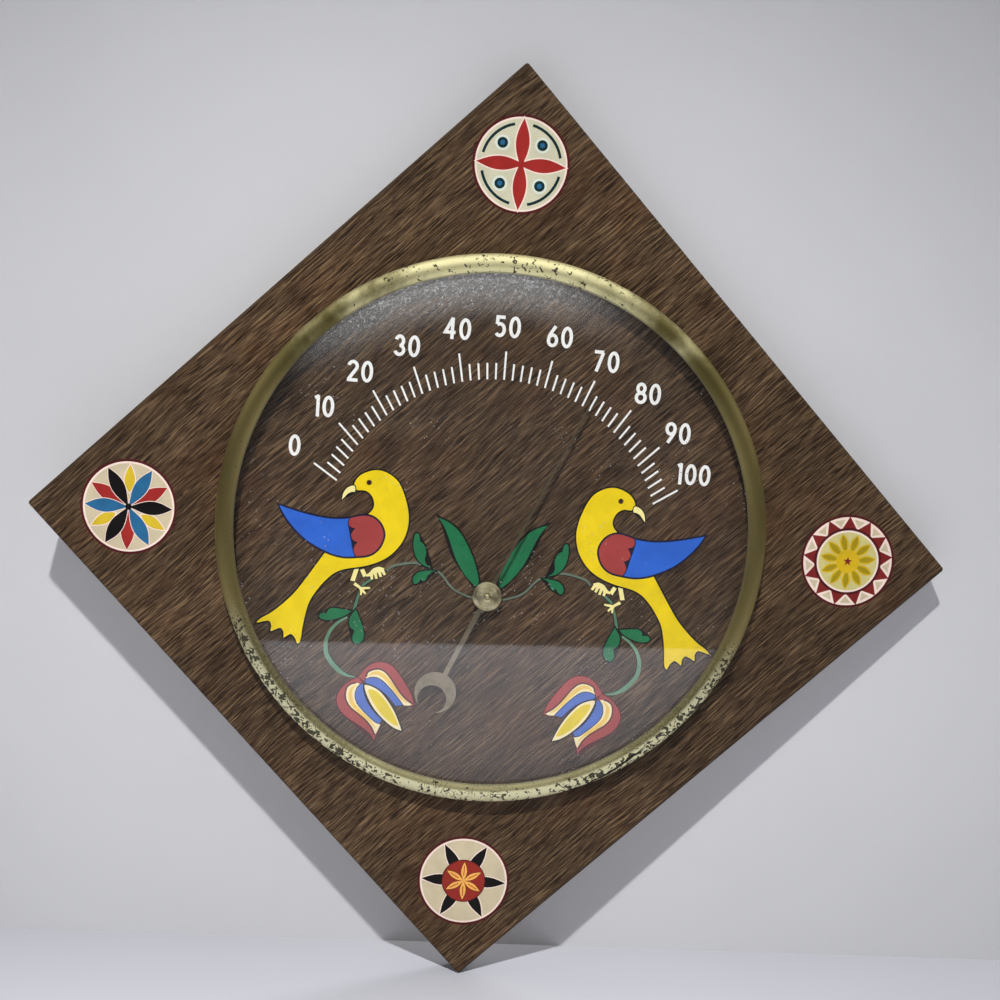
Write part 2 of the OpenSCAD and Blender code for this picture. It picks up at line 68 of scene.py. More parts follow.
def srgb(red, green, blue):
    """A display colour, 0 to 255, as linear numbers."""
    shares = (c / 255 for c in (red, green, blue))
    linear = [c / 12.92 if c <= 0.04045 else ((c + 0.055) / 1.055) ** 2.4 for c in shares]
    return (*linear, 1.0)


def scaled(colour, factor):
    """A linear colour times a factor, at most 1."""
    return tuple(min(1.0, c * factor) for c in colour[:3]) + (1.0,)


def linked(name, data):
    """A new object in the scene."""
    made = bpy.data.objects.new(name, data)
    bpy.context.scene.collection.objects.link(made)
    return made


# Node materials


class Nodes:
    """Short calls that add nodes to one node tree."""

    def __init__(self, tree):
        self.tree = tree
        tree.nodes.clear()

    def add(self, kind, settings=None, **sockets):
        """A node with its settings and inputs.

        An input is named with _ for each space, and takes a value or an output to link.
        """
        node = self.tree.nodes.new(kind)
        for name, value in (settings or {}).items():
            setattr(node, name, value)
        for name, value in sockets.items():
            self.set(node.inputs[name.replace("_", " ")], value)
        return node

    def set(self, socket, value):
        if isinstance(value, bpy.types.NodeSocket):
            self.tree.links.new(value, socket)
        else:
            socket.default_value = value

    def fill(self, node, *values):
        """The node's first output, with its first inputs set to these values."""
        for socket, value in zip(node.inputs, values):
            self.set(socket, value)
        return node.outputs[0]

    def maths(self, operation, *values):
        return self.fill(self.add("ShaderNodeMath", {"operation": operation}), *values)

    def plus(self, first, second):
        return self.maths("ADD", first, second)

    def minus(self, first, second):
        return self.maths("SUBTRACT", first, second)

    def times(self, first, second):
        return self.maths("MULTIPLY", first, second)

    def dot(self, vector, direction):
        node = self.add("ShaderNodeVectorMath", {"operation": "DOT_PRODUCT"})
        self.fill(node, vector, direction)
        return node.outputs["Value"]

    def vector(self, x, y, z):
        return self.add("ShaderNodeCombineXYZ", X=x, Y=y, Z=z).outputs[0]

    def grey(self, value):
        return self.add("ShaderNodeCombineColor", Red=value, Green=value, Blue=value).outputs[0]

    def noise(self, vector, scale=1.0, detail=2.0, roughness=0.5, distortion=0.0):
        names = ("Vector", "Scale", "Detail", "Roughness", "Distortion")
        sockets = dict(zip(names, (vector, scale, detail, roughness, distortion)))
        return self.add("ShaderNodeTexNoise", **sockets).outputs["Fac"]

    def cells(self, vector, scale):
        return self.add("ShaderNodeTexVoronoi", Vector=vector, Scale=scale)

    def span(self, value, start, end, low=0.0, high=1.0):
        """value's way from start to end, held there and eased, as a number from low to high."""
        node = self.add("ShaderNodeMapRange", {"interpolation_type": "SMOOTHSTEP"})
        return self.fill(node, value, start, end, low, high)

    def mix(self, share, first, second, blend="MIX"):
        node = self.add("ShaderNodeMix", {"data_type": "RGBA", "blend_type": blend})
        self.set(node.inputs["Factor"], share)
        self.set(node.inputs[6], first)
        self.set(node.inputs[7], second)
        return node.outputs[2]

    def ramp(self, value, *stops):
        """A colour ramp through (place, colour) stops."""
        node = self.add("ShaderNodeValToRGB", Fac=value)
        elements = node.color_ramp.elements
        while len(elements) < len(stops):
            elements.new(0.5)
        for element, (place, colour) in zip(elements, stops):
            element.position = place
            element.color = colour
        return node.outputs[0]

    def bump(self, height, distance, strength):
        return self.add("ShaderNodeBump", Height=height, Distance=distance, Strength=strength).outputs[0]

    def stretched(self, vector, *scale):
        return self.add("ShaderNodeMapping", Vector=vector, Scale=scale).outputs[0]

    def mix_shaders(self, share, first, second):
        return self.fill(self.add("ShaderNodeMixShader"), share, first, second)

    def output(self, shader):
        self.add("ShaderNodeOutputMaterial", Surface=shader)

    def surface(self, **sockets):
        """A Principled surface as the material's output."""
        self.output(self.add("ShaderNodeBsdfPrincipled", **sockets).outputs[0])


def material(name):
    """(a new material, its Nodes, the place in the CAD frame in metres, the surface's direction)."""
    made = bpy.data.materials.new(name)
    made.use_nodes = True
    n = Nodes(made.node_tree)
    coords = n.add("ShaderNodeTexCoord")
    return made, n, coords.outputs["Object"], coords.outputs["Normal"]


def around(n, place, middle_z):
    """(across, up, radius) of a place seen from the front, from a middle at this height."""
    across = n.dot(place, (1.0, 0.0, 0.0))
    up = n.minus(n.dot(place, (0.0, 0.0, 1.0)), middle_z)
    return across, up, n.maths("SQRT", n.plus(n.times(across, across), n.times(up, up)))


def grain_fields(n, place, normal):
    """(bands, streaks, pores) of the printed walnut grain, which runs up to the right."""
    half = math.sqrt(0.5)
    side = n.maths("ABSOLUTE", n.dot(normal, (-half, 0.0, half)))
    depth = n.times(n.dot(place, (0.0, 1.0, 0.0)), side)
    along = n.dot(place, (half, 0.0, half))
    across = n.plus(n.dot(place, (-half, 0.0, half)), depth)
    sway = n.noise(n.vector(n.times(along, 22.0), n.times(across, 30.0), 3.0))
    across = n.plus(across, n.times(sway, 0.004))

    def field(along_scale, across_scale, layer, detail, roughness=0.5):
        """Noise with these scales along and across the grain, per metre."""
        spot = n.vector(n.times(along, along_scale), n.times(across, across_scale), layer)
        return n.noise(spot, detail=detail, roughness=roughness)

    bands = field(9.0, 75.0, 1.0, 3.0)
    streaks = field(85.0, 1700.0, 5.0, 3.0, 0.65)
    pores = field(130.0, 2300.0, 9.0, 2.0, 0.6)
    return bands, streaks, pores


def walnut_material():
    made, n, place, normal = material("walnut_grain")
    bands, streaks, pores = grain_fields(n, place, normal)
    tone = n.ramp(
        streaks,
        (0.36, srgb(40, 28, 18)),
        (0.46, srgb(66, 50, 36)),
        (0.55, srgb(85, 67, 48)),
        (0.67, srgb(118, 95, 69)),
    )
    warm = n.noise(place, 38.0, 3.0, 0.6)
    tone = n.mix(n.span(warm, 0.45, 0.7, 0.0, 0.14), tone, srgb(104, 62, 34))
    shade = n.span(bands, 0.3, 0.7, 0.78, 1.16)
    tone = n.mix(1.0, tone, n.grey(shade), "MULTIPLY")
    pore = n.span(pores, 0.56, 0.63)
    tone = n.mix(n.times(pore, 0.85), tone, srgb(26, 17, 11))
    facing = n.maths("ABSOLUTE", n.dot(normal, (0.0, 1.0, 0.0)))
    tone = n.mix(n.span(facing, 0.3, 0.98, 0.55, 0.0), tone, srgb(24, 17, 13))
    relief = n.minus(n.times(streaks, 0.8), pore)
    n.surface(
        Base_Color=tone,
        Roughness=n.span(streaks, 0.3, 0.7, 0.6, 0.44),
        Specular_IOR_Level=0.15,
        Normal=n.bump(relief, 0.00022, 0.85),
    )
    return made


def ink_material(name, colour, vary):
    """Screen-printed ink: nearly flat colour over the grain's relief."""
    made, n, place, normal = material(f"ink_{name}")
    _, streaks, pores = grain_fields(n, place, normal)
    patch = n.noise(place, 160.0, 3.0)
    tone = n.mix(n.span(patch, 0.3, 0.7), scaled(colour, 1 - vary), scaled(colour, 1 + vary / 2))
    pore = n.span(pores, 0.6, 0.72)
    tone = n.mix(n.times(pore, 0.12), tone, srgb(30, 24, 20))
    n.surface(
        Base_Color=tone,
        Roughness=n.span(patch, 0.3, 0.7, 0.42, 0.52),
        Specular_IOR_Level=0.12,
        Normal=n.bump(n.minus(streaks, pore), 0.00006, 0.4),
    )
    return made


# Where the bezel's finish, its painted shade, painted reflection and painted lip sheen change with the
# radius: from one radius in metres to the other
LIP_SHEEN_BAND = (0.0791, 0.0788)
INNER_SHADE_BAND = (0.0808, 0.0801)
OUTER_HALF = (0.0798, 0.0814)
# The scratch at the lower right: its radius at its first angle, and its two ends, in radians from the top
SCRATCH_R, SCRATCH_ANGLE = 0.0817, 2.46
SCRATCH_STARTS, SCRATCH_STOPS = (2.42, 2.48), (2.80, 2.76)


def brass_bezel_material():
    """Thin brass with random olive tarnish, pits, a scratch and dark threads. Painted shade makes it olive
    at the sides, a painted reflection makes the foot's outer half cream, painted shade darkens the foot's
    inner half, and a painted grey sheen lies on the inner lip.
    """
    made, n, place, _ = material("bezel_brass_worn_and_painted_shade")
    across, up, radius = around(n, place, DIAL_Z)
    out = n.dot(place, (0.0, 1.0, 0.0))
    sine = n.maths("DIVIDE", up, n.maths("MAXIMUM", radius, 0.001))
    cosine = n.maths("DIVIDE", across, n.maths("MAXIMUM", radius, 0.001))
    lines = n.noise(n.vector(n.times(sine, 5.0), n.times(radius, 5200.0), n.times(out, 5200.0)))
    cloud = n.noise(place, 70.0, 4.0, 0.6)
    speckle = n.noise(place, 1500.0, 3.0, 0.65)
    pits = n.noise(place, 640.0, 3.0, 0.55, 0.9)
    foot = n.span(sine, -0.3, -0.6)
    outer = n.span(radius, *OUTER_HALF, 0.3, 1.0)
    sideways = n.maths("ABSOLUTE", cosine)
    low_side = n.times(n.span(sine, -0.25, -0.45), n.span(sideways, 0.22, 0.42, 0.62, 1.0))
    bad = n.maths("MAXIMUM", n.times(low_side, outer), n.span(sine, 0.75, 1.0, 0.0, 0.5))
    # Painted shade: the sideways term turns the brass olive towards the left and right sides, a lighter
    # olive right at them. The cloud adds random tarnish.
    tarnish_and_side_shade = n.span(n.plus(cloud, sideways), 0.7, 1.25)
    olive = n.mix(n.span(sideways, 0.75, 1.0), srgb(108, 98, 58), srgb(172, 156, 102))
    tone = n.mix(tarnish_and_side_shade, srgb(236, 228, 174), olive)
    # Painted reflection: the foot's outer half is made paler cream, standing in for the pale floor it
    # mirrors.
    cream = n.times(foot, n.span(radius, *OUTER_HALF, 0.15, 0.9))
    tone = n.mix(cream, tone, srgb(244, 240, 196))
    # Painted shade: the foot's inner half is darkened, standing in for the dark room it mirrors.
    inner = n.times(foot, n.span(radius, *INNER_SHADE_BAND, 0.0, 0.75))
    tone = n.mix(inner, tone, srgb(112, 104, 68))
    pale = n.times(n.span(speckle, 0.5, 0.62), n.times(bad, 0.5))
    tone = n.mix(pale, tone, srgb(240, 234, 196))
    edge = n.minus(0.71, n.times(bad, 0.215))
    pit = n.span(pits, edge, n.plus(edge, 0.025))
    tone = n.mix(n.times(pit, 0.95), tone, srgb(34, 28, 18))
    angle = n.maths("ARCTAN2", across, up)
    path = n.plus(SCRATCH_R, n.times(n.minus(angle, SCRATCH_ANGLE), 0.01))
    wander = n.times(n.minus(n.noise(place, 330.0, 2.0), 0.5), 0.0016)
    off_path = n.maths("ABSOLUTE", n.plus(n.minus(radius, path), wander))
    in_arc = n.times(n.span(angle, *SCRATCH_STARTS), n.span(angle, *SCRATCH_STOPS))
    scratch = n.times(n.span(off_path, 0.00055, 0.00035), in_arc)
    curl = n.noise(place, 260.0, 1.0, 0.5, 1.2)
    thin = n.span(n.maths("ABSOLUTE", n.minus(curl, 0.5)), 0.014, 0.006)
    at_foot = n.times(n.span(sine, -0.975, -0.99), n.span(n.noise(place, 60.0, 1.0), 0.45, 0.55))
    thread = n.maths("MAXIMUM", scratch, n.times(thin, at_foot))
    tone = n.mix(thread, tone, srgb(30, 24, 16))
    # Painted reflection: a dull grey sheen on the inner lip, which is also made less metallic.
    lip_painted_sheen = n.span(radius, *LIP_SHEEN_BAND)
    tone = n.mix(n.times(lip_painted_sheen, 0.6), tone, srgb(96, 93, 80))
    flaw = n.maths("MAXIMUM", pit, thread)
    dull = n.plus(n.times(flaw, 0.8), n.times(lip_painted_sheen, 0.2))
    sunk = n.plus(flaw, n.times(speckle, 0.4))
    n.surface(
        Base_Color=tone,
        Metallic=n.maths("MAXIMUM", 0.0, n.minus(1.0, dull)),
        Roughness=n.plus(n.span(tarnish_and_side_shade, 0.0, 1.0, 0.4, 0.48), n.times(flaw, 0.35)),
        Anisotropic=0.75,
        Anisotropic_Rotation=0.25,
        Tangent=n.add("ShaderNodeTangent", {"direction_type": "RADIAL", "axis": "Y"}).outputs[0],
        Normal=n.bump(n.minus(n.times(lines, 0.25), sunk), 0.00012, 0.5),
    )
    return made


def pointer_material():
    """Thin sheet gone olive-grey, darkest along the needle and lighter towards the crescent."""
    made, n, place, _ = material("pointer_satin")
    lines = n.noise(n.stretched(place, 700.0, 700.0, 24.0), detail=3.0)
    cloud = n.noise(place, 210.0, 4.0, 0.6)
    below = n.minus(HUB_Z, n.dot(place, (0.0, 0.0, 1.0)))
    tone = n.mix(n.span(below, 0.0, 0.022), srgb(88, 80, 60), srgb(146, 134, 112))
    tone = n.mix(n.span(cloud, 0.4, 0.68, 0.0, 0.4), tone, srgb(72, 64, 46))
    spots = n.span(n.noise(place, 1300.0, 3.0, 0.6), 0.64, 0.7)
    tone = n.mix(n.times(spots, 0.5), tone, srgb(40, 34, 24))
    n.surface(
        Base_Color=tone,
        Metallic=0.55,
        Roughness=n.span(lines, 0.3, 0.7, 0.38, 0.52),
        Normal=n.bump(n.minus(n.times(lines, 0.5), spots), 0.00004, 0.4),
    )
    return made


def turned_brass_material():
    """Lathe-turned brass, with fine rings round the pointer's axis."""
    made, n, place, _ = material("turned_brass_rings")
    across, up, radius = around(n, place, HUB_Z)
    rings = n.noise(n.vector(n.times(radius, 9000.0), 0.0, 0.0))
    outward = n.add(
        "ShaderNodeVectorTransform",
        {"vector_type": "VECTOR", "convert_from": "OBJECT", "convert_to": "WORLD"},
        Vector=n.vector(across, 0.0, up),
    ).outputs[0]
    cloud = n.noise(place, 420.0, 3.0, 0.6)
    tone = n.mix(n.span(cloud, 0.35, 0.7), srgb(222, 212, 172), srgb(176, 164, 122))
    n.surface(
        Base_Color=tone,
        Metallic=1.0,
        Roughness=n.span(cloud, 0.3, 0.7, 0.3, 0.38),
        Anisotropic=0.92,
        Tangent=outward,
        Normal=n.bump(rings, 0.000004, 0.5),
    )
    return made


def sheet_material(name, light, dark, rough, direction):
    """Rolled or plated sheet: fine lines along one direction and cloudy tarnish."""
    made, n, place, _ = material(name)
    stretch = [30.0 if axis == direction else 900.0 for axis in "XYZ"]
    lines = n.noise(n.stretched(place, *stretch), detail=3.0)
    cloud = n.noise(place, 130.0, 4.0, 0.6)
    spots = n.span(n.noise(place, 1100.0, 3.0, 0.6), 0.66, 0.72)
    tone = n.mix(n.span(cloud, 0.35, 0.68), light, dark)
    tone = n.mix(n.times(spots, 0.6), tone, scaled(dark, 0.35))
    n.surface(
        Base_Color=tone,
        Metallic=1.0,
        Roughness=n.span(lines, 0.3, 0.7, rough - 0.06, rough + 0.08),
        Normal=n.bump(n.minus(n.times(lines, 0.5), spots), 0.00004, 0.4),
    )
    return made


def chipboard_material():
    """Pressed wood chips: pale and dark flakes lying in the board's plane."""
    made, n, place, _ = material("chipboard_flakes")
    wander = n.noise(place, 240.0, 3.0)
    shift = n.vector(n.times(wander, 0.004), 0.0, n.times(wander, -0.003))
    warped = n.fill(n.add("ShaderNodeVectorMath", {"operation": "ADD"}), place, shift)
    flat = n.stretched(warped, 1.0, 2.2, 1.0)
    flakes = n.cells(flat, 300.0).outputs["Color"]
    shade = n.add("ShaderNodeSeparateColor", Color=flakes).outputs[0]
    fine = n.cells(flat, 820.0)
    fine_shade = n.add("ShaderNodeSeparateColor", Color=fine.outputs["Color"]).outputs[1]
    fibres = n.noise(n.stretched(warped, 300.0, 900.0, 1600.0))
    tone = n.ramp(
        n.plus(n.times(shade, 0.6), n.times(fine_shade, 0.4)),
        (0.1, srgb(112, 82, 50)),
        (0.35, srgb(156, 122, 80)),
        (0.6, srgb(186, 154, 108)),
        (0.9, srgb(206, 178, 134)),
    )
    tone = n.mix(n.span(fibres, 0.35, 0.75, 0.0, 0.35), tone, srgb(96, 68, 42))
    seam = n.span(fine.outputs["Distance"], 0.0, 0.5)
    relief = n.plus(n.times(shade, 0.6), n.times(seam, 0.4))
    n.surface(
        Base_Color=tone, Roughness=0.85, Specular_IOR_Level=0.25, Normal=n.bump(relief, 0.0002, 0.6)
    )
    return made


def glass_material():
    """A clear pane that lets lamps through, mirrors by its angle, and carries a little dust."""
    made, n, place, normal = material("dusty_glass")
    mirror = n.add("ShaderNodeBsdfGlossy", Color=(1.0, 1.0, 1.0, 1.0), Roughness=0.03).outputs[0]
    clear = n.add("ShaderNodeBsdfTransparent", Color=(1.0, 1.0, 1.0, 1.0)).outputs[0]
    facing = n.add("ShaderNodeLayerWeight", Blend=0.5).outputs["Facing"]
    sheen = n.plus(0.04, n.times(n.maths("POWER", facing, 5.0), 0.96))
    pane = n.mix_shaders(sheen, clear, mirror)
    across, up, radius = around(n, place, DIAL_Z)
    film = n.span(n.noise(place, 26.0, 4.0, 0.6), 0.3, 0.75, 0.001, 0.006)
    near_hub = n.span(n.maths("ABSOLUTE", n.plus(up, 0.02)), 0.03, 0.01, 0.0, 0.06)
    few = n.span(n.plus(n.noise(place, 75.0, 2.0), near_hub), 0.52, 0.64)
    speck = n.span(n.cells(place, 560.0).outputs["Distance"], 0.14, 0.07)
    specks = n.times(speck, n.times(few, 0.45))
    under_rim = n.times(n.span(radius, 0.062, 0.078), n.span(across, 0.045, 0.0))
    under_rim = n.times(under_rim, n.span(up, 0.040, 0.074))
    grit = n.span(n.noise(place, 1100.0, 3.0, 0.65), 0.5, 0.72, 0.12, 0.5)
    dust = n.plus(n.plus(film, specks), n.times(under_rim, grit))
    front = n.span(n.dot(normal, (0.0, -1.0, 0.0)), 0.5, 0.9)
    white = n.add("ShaderNodeBsdfDiffuse", Color=srgb(214, 214, 212)).outputs[0]
    n.output(n.mix_shaders(n.times(dust, front), pane, white))
    return made


def plain_material(name, colour, rough, grain, depth, vary, **sockets):
    """Moulded plastic, lacquer or felt: one colour with a fine grain."""
    made, n, place, _ = material(name)
    fine = n.noise(place, grain, 4.0, 0.6)
    cloud = n.noise(place, 90.0, 3.0)
    mottle = n.plus(n.times(fine, 0.6), n.times(cloud, 0.4))
    n.surface(
        Base_Color=n.mix(n.span(mottle, 0.35, 0.65), scaled(colour, 1 - vary), scaled(colour, 1 + vary)),
        Roughness=n.span(fine, 0.3, 0.7, rough - 0.07, rough + 0.07),
        Normal=n.bump(fine, depth, 0.6),
        **sockets,
    )
    return made


SLOT_MATERIALS = {
    "chipboard": chipboard_material(),
    "walnut": walnut_material(),
    "black_plastic": plain_material("spacer_black", srgb(22, 22, 23), 0.5, 900.0, 0.00005, 0.2),
    "glass": glass_material(),
    "bezel_brass": brass_bezel_material(),
    "turned_brass": turned_brass_material(),
    "plate_brass": sheet_material("stamped_brass", srgb(198, 178, 116), srgb(142, 122, 72), 0.34, "X"),
    "pointer_metal": pointer_material(),
    "bimetal": sheet_material("bimetal_strip", srgb(188, 172, 140), srgb(140, 124, 96), 0.3, "Y"),
    "steel": sheet_material("zinc_steel", srgb(196, 196, 192), srgb(140, 140, 136), 0.36, "X"),
    "cover_steel": plain_material(
        "cover_lacquer", srgb(98, 94, 84), 0.38, 600.0, 0.00003, 0.12, Metallic=0.3
    ),
    "felt": plain_material("felt_black", srgb(40, 40, 42), 0.95, 2600.0, 0.0003, 0.45, Sheen_Weight=0.4),
}
slot_of = {part["node"]: part["material_slot"] for part in frame["record"]["subparts"]}
for name, node in frame["nodes"].items():
    node.data.materials.clear()
    node.data.materials.append(SLOT_MATERIALS[slot_of[name]])

# Flat shapes, in millimetres on the face

ROUND_STEPS = 5
PETAL_STEPS = 14


def smooth(points, steps=ROUND_STEPS):
    """A closed outline through points, round everywhere but at those that end in CORNER."""
    outline = []
    count = len(points)
    places = [Vector(p[:2]) for p in points]
    for i in range(count):
        before, start, end, after = (places[(i + k) % count] for k in (-1, 0, 1, 2))
        chord = (end - start).length
        leave = arrive = end - start
        if len(points[i]) == 2:
            leave = (end - before) * chord / (chord + (start - before).length)
        if len(points[(i + 1) % count]) == 2:
            arrive = (after - start) * chord / (chord + (after - end).length)
        for k in range(steps):
            t = k / steps
            outline.append(
                (2 * t**3 - 3 * t**2 + 1) * start
                + (t**3 - 2 * t**2 + t) * leave
                + (3 * t**2 - 2 * t**3) * end
                + (t**3 - t**2) * arrive
            )
    return outline


def line(points):
    """A round open line through points."""
    first, last = Vector(points[0][:2]), Vector(points[-1][:2])
    ends = [(*first, CORNER), *points[1:-1], (*last, CORNER)]
    return smooth(ends)[: ROUND_STEPS * (len(points) - 1)] + [last]


def stroke(path, widths, closed=False):
    """Quads along a path, of one width or of several, which are evenly spaced along it."""
    path = [Vector(p) for p in path]
    count = len(path)
    stops = widths if isinstance(widths, tuple) else (widths, widths)
    sides = []
    for i, p in enumerate(path):
        before = path[i - 1] if closed or i else None
        after = path[(i + 1) % count] if closed or i < count - 1 else None
        one = (p - before).normalized() if before is not None else (after - p).normalized()
        two = (after - p).normalized() if after is not None else one
        way = one + two
        way = way.normalized() if way.length > 0.2 else two
        spread = max(0.55, way.dot(two))
        along = i / max(1, count - 1) * (len(stops) - 1)
        k = min(int(along), len(stops) - 2)
        half = (stops[k] + (stops[k + 1] - stops[k]) * (along - k)) / 2 / spread
        normal = Vector((-way.y, way.x)) * half
        sides.append((p + normal, p - normal))
    last = count if closed else count - 1
    quads = []
    for i in range(last):
        (a, b), (c, d) = sides[i], sides[(i + 1) % count]
        quads.append([a, b, d, c])
    return quads


def rim(outline, width):
    """An outline with a line of this width round it."""
    return [outline] + stroke(outline, 2 * width, True)


def disc(x, y, radius, count=40):
    angles = [2 * math.pi * k / count for k in range(count)]
    return [Vector((x + radius * math.cos(a), y + radius * math.sin(a))) for a in angles]


def arc_points(x, y, wide, high, start, end, count):
    """Points of an oval arc from start to end, in degrees counted up from +x."""
    angles = [math.radians(start + (end - start) * k / count) for k in range(count + 1)]
    return [Vector((x + wide * math.cos(a), y + high * math.sin(a))) for a in angles]


def petal(length, half, heading, start=0.0, fullest=0.5):
    """A pointed leaf that leaves the middle at heading degrees clockwise from straight up."""
    skew = math.log(0.5) / math.log(fullest)
    right, left = [], []
    for k in range(PETAL_STEPS + 1):
        t = k / PETAL_STEPS
        inside = 0 < k < PETAL_STEPS
        width = half * math.sin(math.pi * t**skew) if inside else 0.0
        along = start + (length - start) * t
        right.append(Vector((width, along)))
        if inside:
            left.append(Vector((-width, along)))
    return turned(right + left[::-1], heading)


def turned(points, heading):
    """Points turned clockwise by heading degrees about the origin."""
    angle = math.radians(-heading)
    c, s = math.cos(angle), math.sin(angle)
    return [Vector((p[0] * c - p[1] * s, p[0] * s + p[1] * c)) for p in points]


def area(outline):
    """An outline's area, below zero where it runs clockwise."""
    return sum(a[0] * b[1] - b[0] * a[1] for a, b in zip(outline, outline[1:] + outline[:1])) / 2


def union(outlines):
    """(points, triangles) of the flat area that any of these outlines covers."""
    points, faces = [], []
    for outline in outlines:
        if abs(area(outline)) < 1e-7:
            continue
        loop = outline if area(outline) > 0 else outline[::-1]
        faces.append(list(range(len(points), len(points) + len(loop))))
        points.extend(Vector(p[:2]) for p in loop)
    made, _, triangles, _, _, sources = delaunay_2d_cdt(points, [], faces, 0, 1e-5, True)
    return made, [t for t, source in zip(triangles, sources) if source]


# How far a layer of ink stands out over the last, and how far its foot is sunk in the face
INK_STEP = 0.012
INK_SUNK = 0.02


class Print:
    """One printed figure: flat shapes of several inks, each a thin closed layer on the face."""

    def __init__(self, name, place=None):
        """place moves an outline's points to where they are printed."""
        self.name, self.place = name, place
        self.points, self.faces, self.inks, self.ink_of = [], [], [], []

    def add(self, ink, outlines, layer):
        """Prints the area of these outlines, or of the one outline, at a layer."""
        if isinstance(outlines[0], Vector):
            outlines = [outlines]
        if self.place:
            outlines = [self.place(outline) for outline in outlines]
        flat, triangles = union(outlines)
        if ink not in self.inks:
            self.inks.append(ink)
        index = self.inks.index(ink)
        base = len(self.points)
        count = len(flat)
        for out in (layer * INK_STEP, -INK_SUNK):
            self.points.extend((p.x * MM, FACE_Y - out * MM, MIDDLE_Z + p.y * MM) for p in flat)
        edges = {}
        new = []
        for t in triangles:
            new.append([base + i for i in t])
            new.append([base + count + i for i in reversed(t)])
            for a, b in zip(t, list(t[1:]) + [t[0]]):
                edges[(a, b)] = True
        for a, b in edges:
            if (b, a) not in edges:
                new.append([base + b, base + a, base + count + a, base + count + b])
        self.faces.extend(new)
        self.ink_of.extend([index] * len(new))

    def rimmed(self, rim_ink, ink, outline, width, layer):
        """Prints an outline over a rim of this width."""
        self.add(rim_ink, rim(outline, width), layer)
        self.add(ink, outline, layer + 1)

    def finish(self):
        """Makes the piece and lets it ride on the plaque."""
        mesh = bpy.data.meshes.new(self.name)
        used = sorted({i for f in self.faces for i in f})
        renumber = {old: new for new, old in enumerate(used)}
        mesh.from_pydata([self.points[i] for i in used], [], [[renumber[i] for i in f] for f in self.faces])
        for ink in self.inks:
            mesh.materials.append(INKS[ink])
        mesh.polygons.foreach_set("material_index", self.ink_of)
        mesh.update()
        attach(linked(self.name, mesh), "root")


# Each ink's display colour, and how much it varies
INK_COLOURS = {
    "white": (236, 236, 232, 0.05),
    "black": (20, 18, 18, 0.12),
    "navy": (22, 24, 50, 0.12),
    "yellow": (232, 203, 14, 0.08),
    "blue": (44, 98, 198, 0.1),
    "bird_red": (158, 62, 60, 0.1),
    "brown": (96, 58, 34, 0.12),
    "beak": (240, 228, 152, 0.06),
    "green": (28, 108, 68, 0.14),
    "vine": (84, 124, 98, 0.14),
    "stem_grey": (95, 110, 95, 0.14),
    "stem_green": (98, 138, 112, 0.14),
    "tulip_red": (158, 66, 64, 0.1),
    "tulip_cream": (238, 224, 178, 0.06),
    "tulip_gold": (232, 196, 96, 0.08),
    "tulip_yellow": (222, 198, 48, 0.08),
    "brown_line": (92, 42, 34, 0.12),
    "tulip_blue": (76, 108, 188, 0.1),
    "disc_tan": (194, 180, 150, 0.08),
    "disc_grey": (197, 193, 166, 0.08),
    "straw": (196, 186, 122, 0.08),
    "halo": (206, 214, 200, 0.05),
    "border": (232, 210, 196, 0.04),
    "rim_maroon": (76, 26, 28, 0.12),
    "rosette_maroon": (118, 36, 34, 0.12),
    "rosette_red": (152, 42, 38, 0.12),
    "rosette_brick": (138, 44, 36, 0.12),
    "rosette_blue": (40, 96, 136, 0.12),
    "teal": (18, 42, 44, 0.12),
    "rosette_yellow": (200, 172, 44, 0.08),
    "olive": (156, 134, 24, 0.08),
    "gold": (200, 166, 30, 0.08),
    "peach": (232, 168, 84, 0.08),
}
INKS = {name: ink_material(name, srgb(*colour), vary) for name, (*colour, vary) in INK_COLOURS.items()}

# The scale: its degree marks, one for every 2 degrees, and its numbers

HUB = Vector((0.0, (HUB_Z - MIDDLE_Z) / MM))
SCALE_CENTRE = Vector((0.2, -3.5))
DEGREES_PER_MARK = 2.82
MARK_INNER_R, MARK_OUTER_R, LONG_MARK_R = 52.2, 57.2, 60.8
MARKS = 51
MARK_W = 0.58
DIGIT_W = 1.02
DIGIT_PITCH, CLOSER_AT_1 = 4.4, 1.2


def mark(index):
    """The quad of one degree mark. Each lies on a line from the hub."""
    angle = math.radians((index - MARKS // 2) * DEGREES_PER_MARK)
    inner = SCALE_CENTRE + MARK_INNER_R * Vector((math.sin(angle), math.cos(angle)))
    way = (inner - HUB).normalized()
    reach = LONG_MARK_R if index % 5 == 0 else MARK_OUTER_R
    from_centre = inner - SCALE_CENTRE
    along = way.dot(from_centre)
    length = math.sqrt(along**2 - from_centre.length_squared + reach**2) - along
    return stroke([inner, inner + way * length], MARK_W)


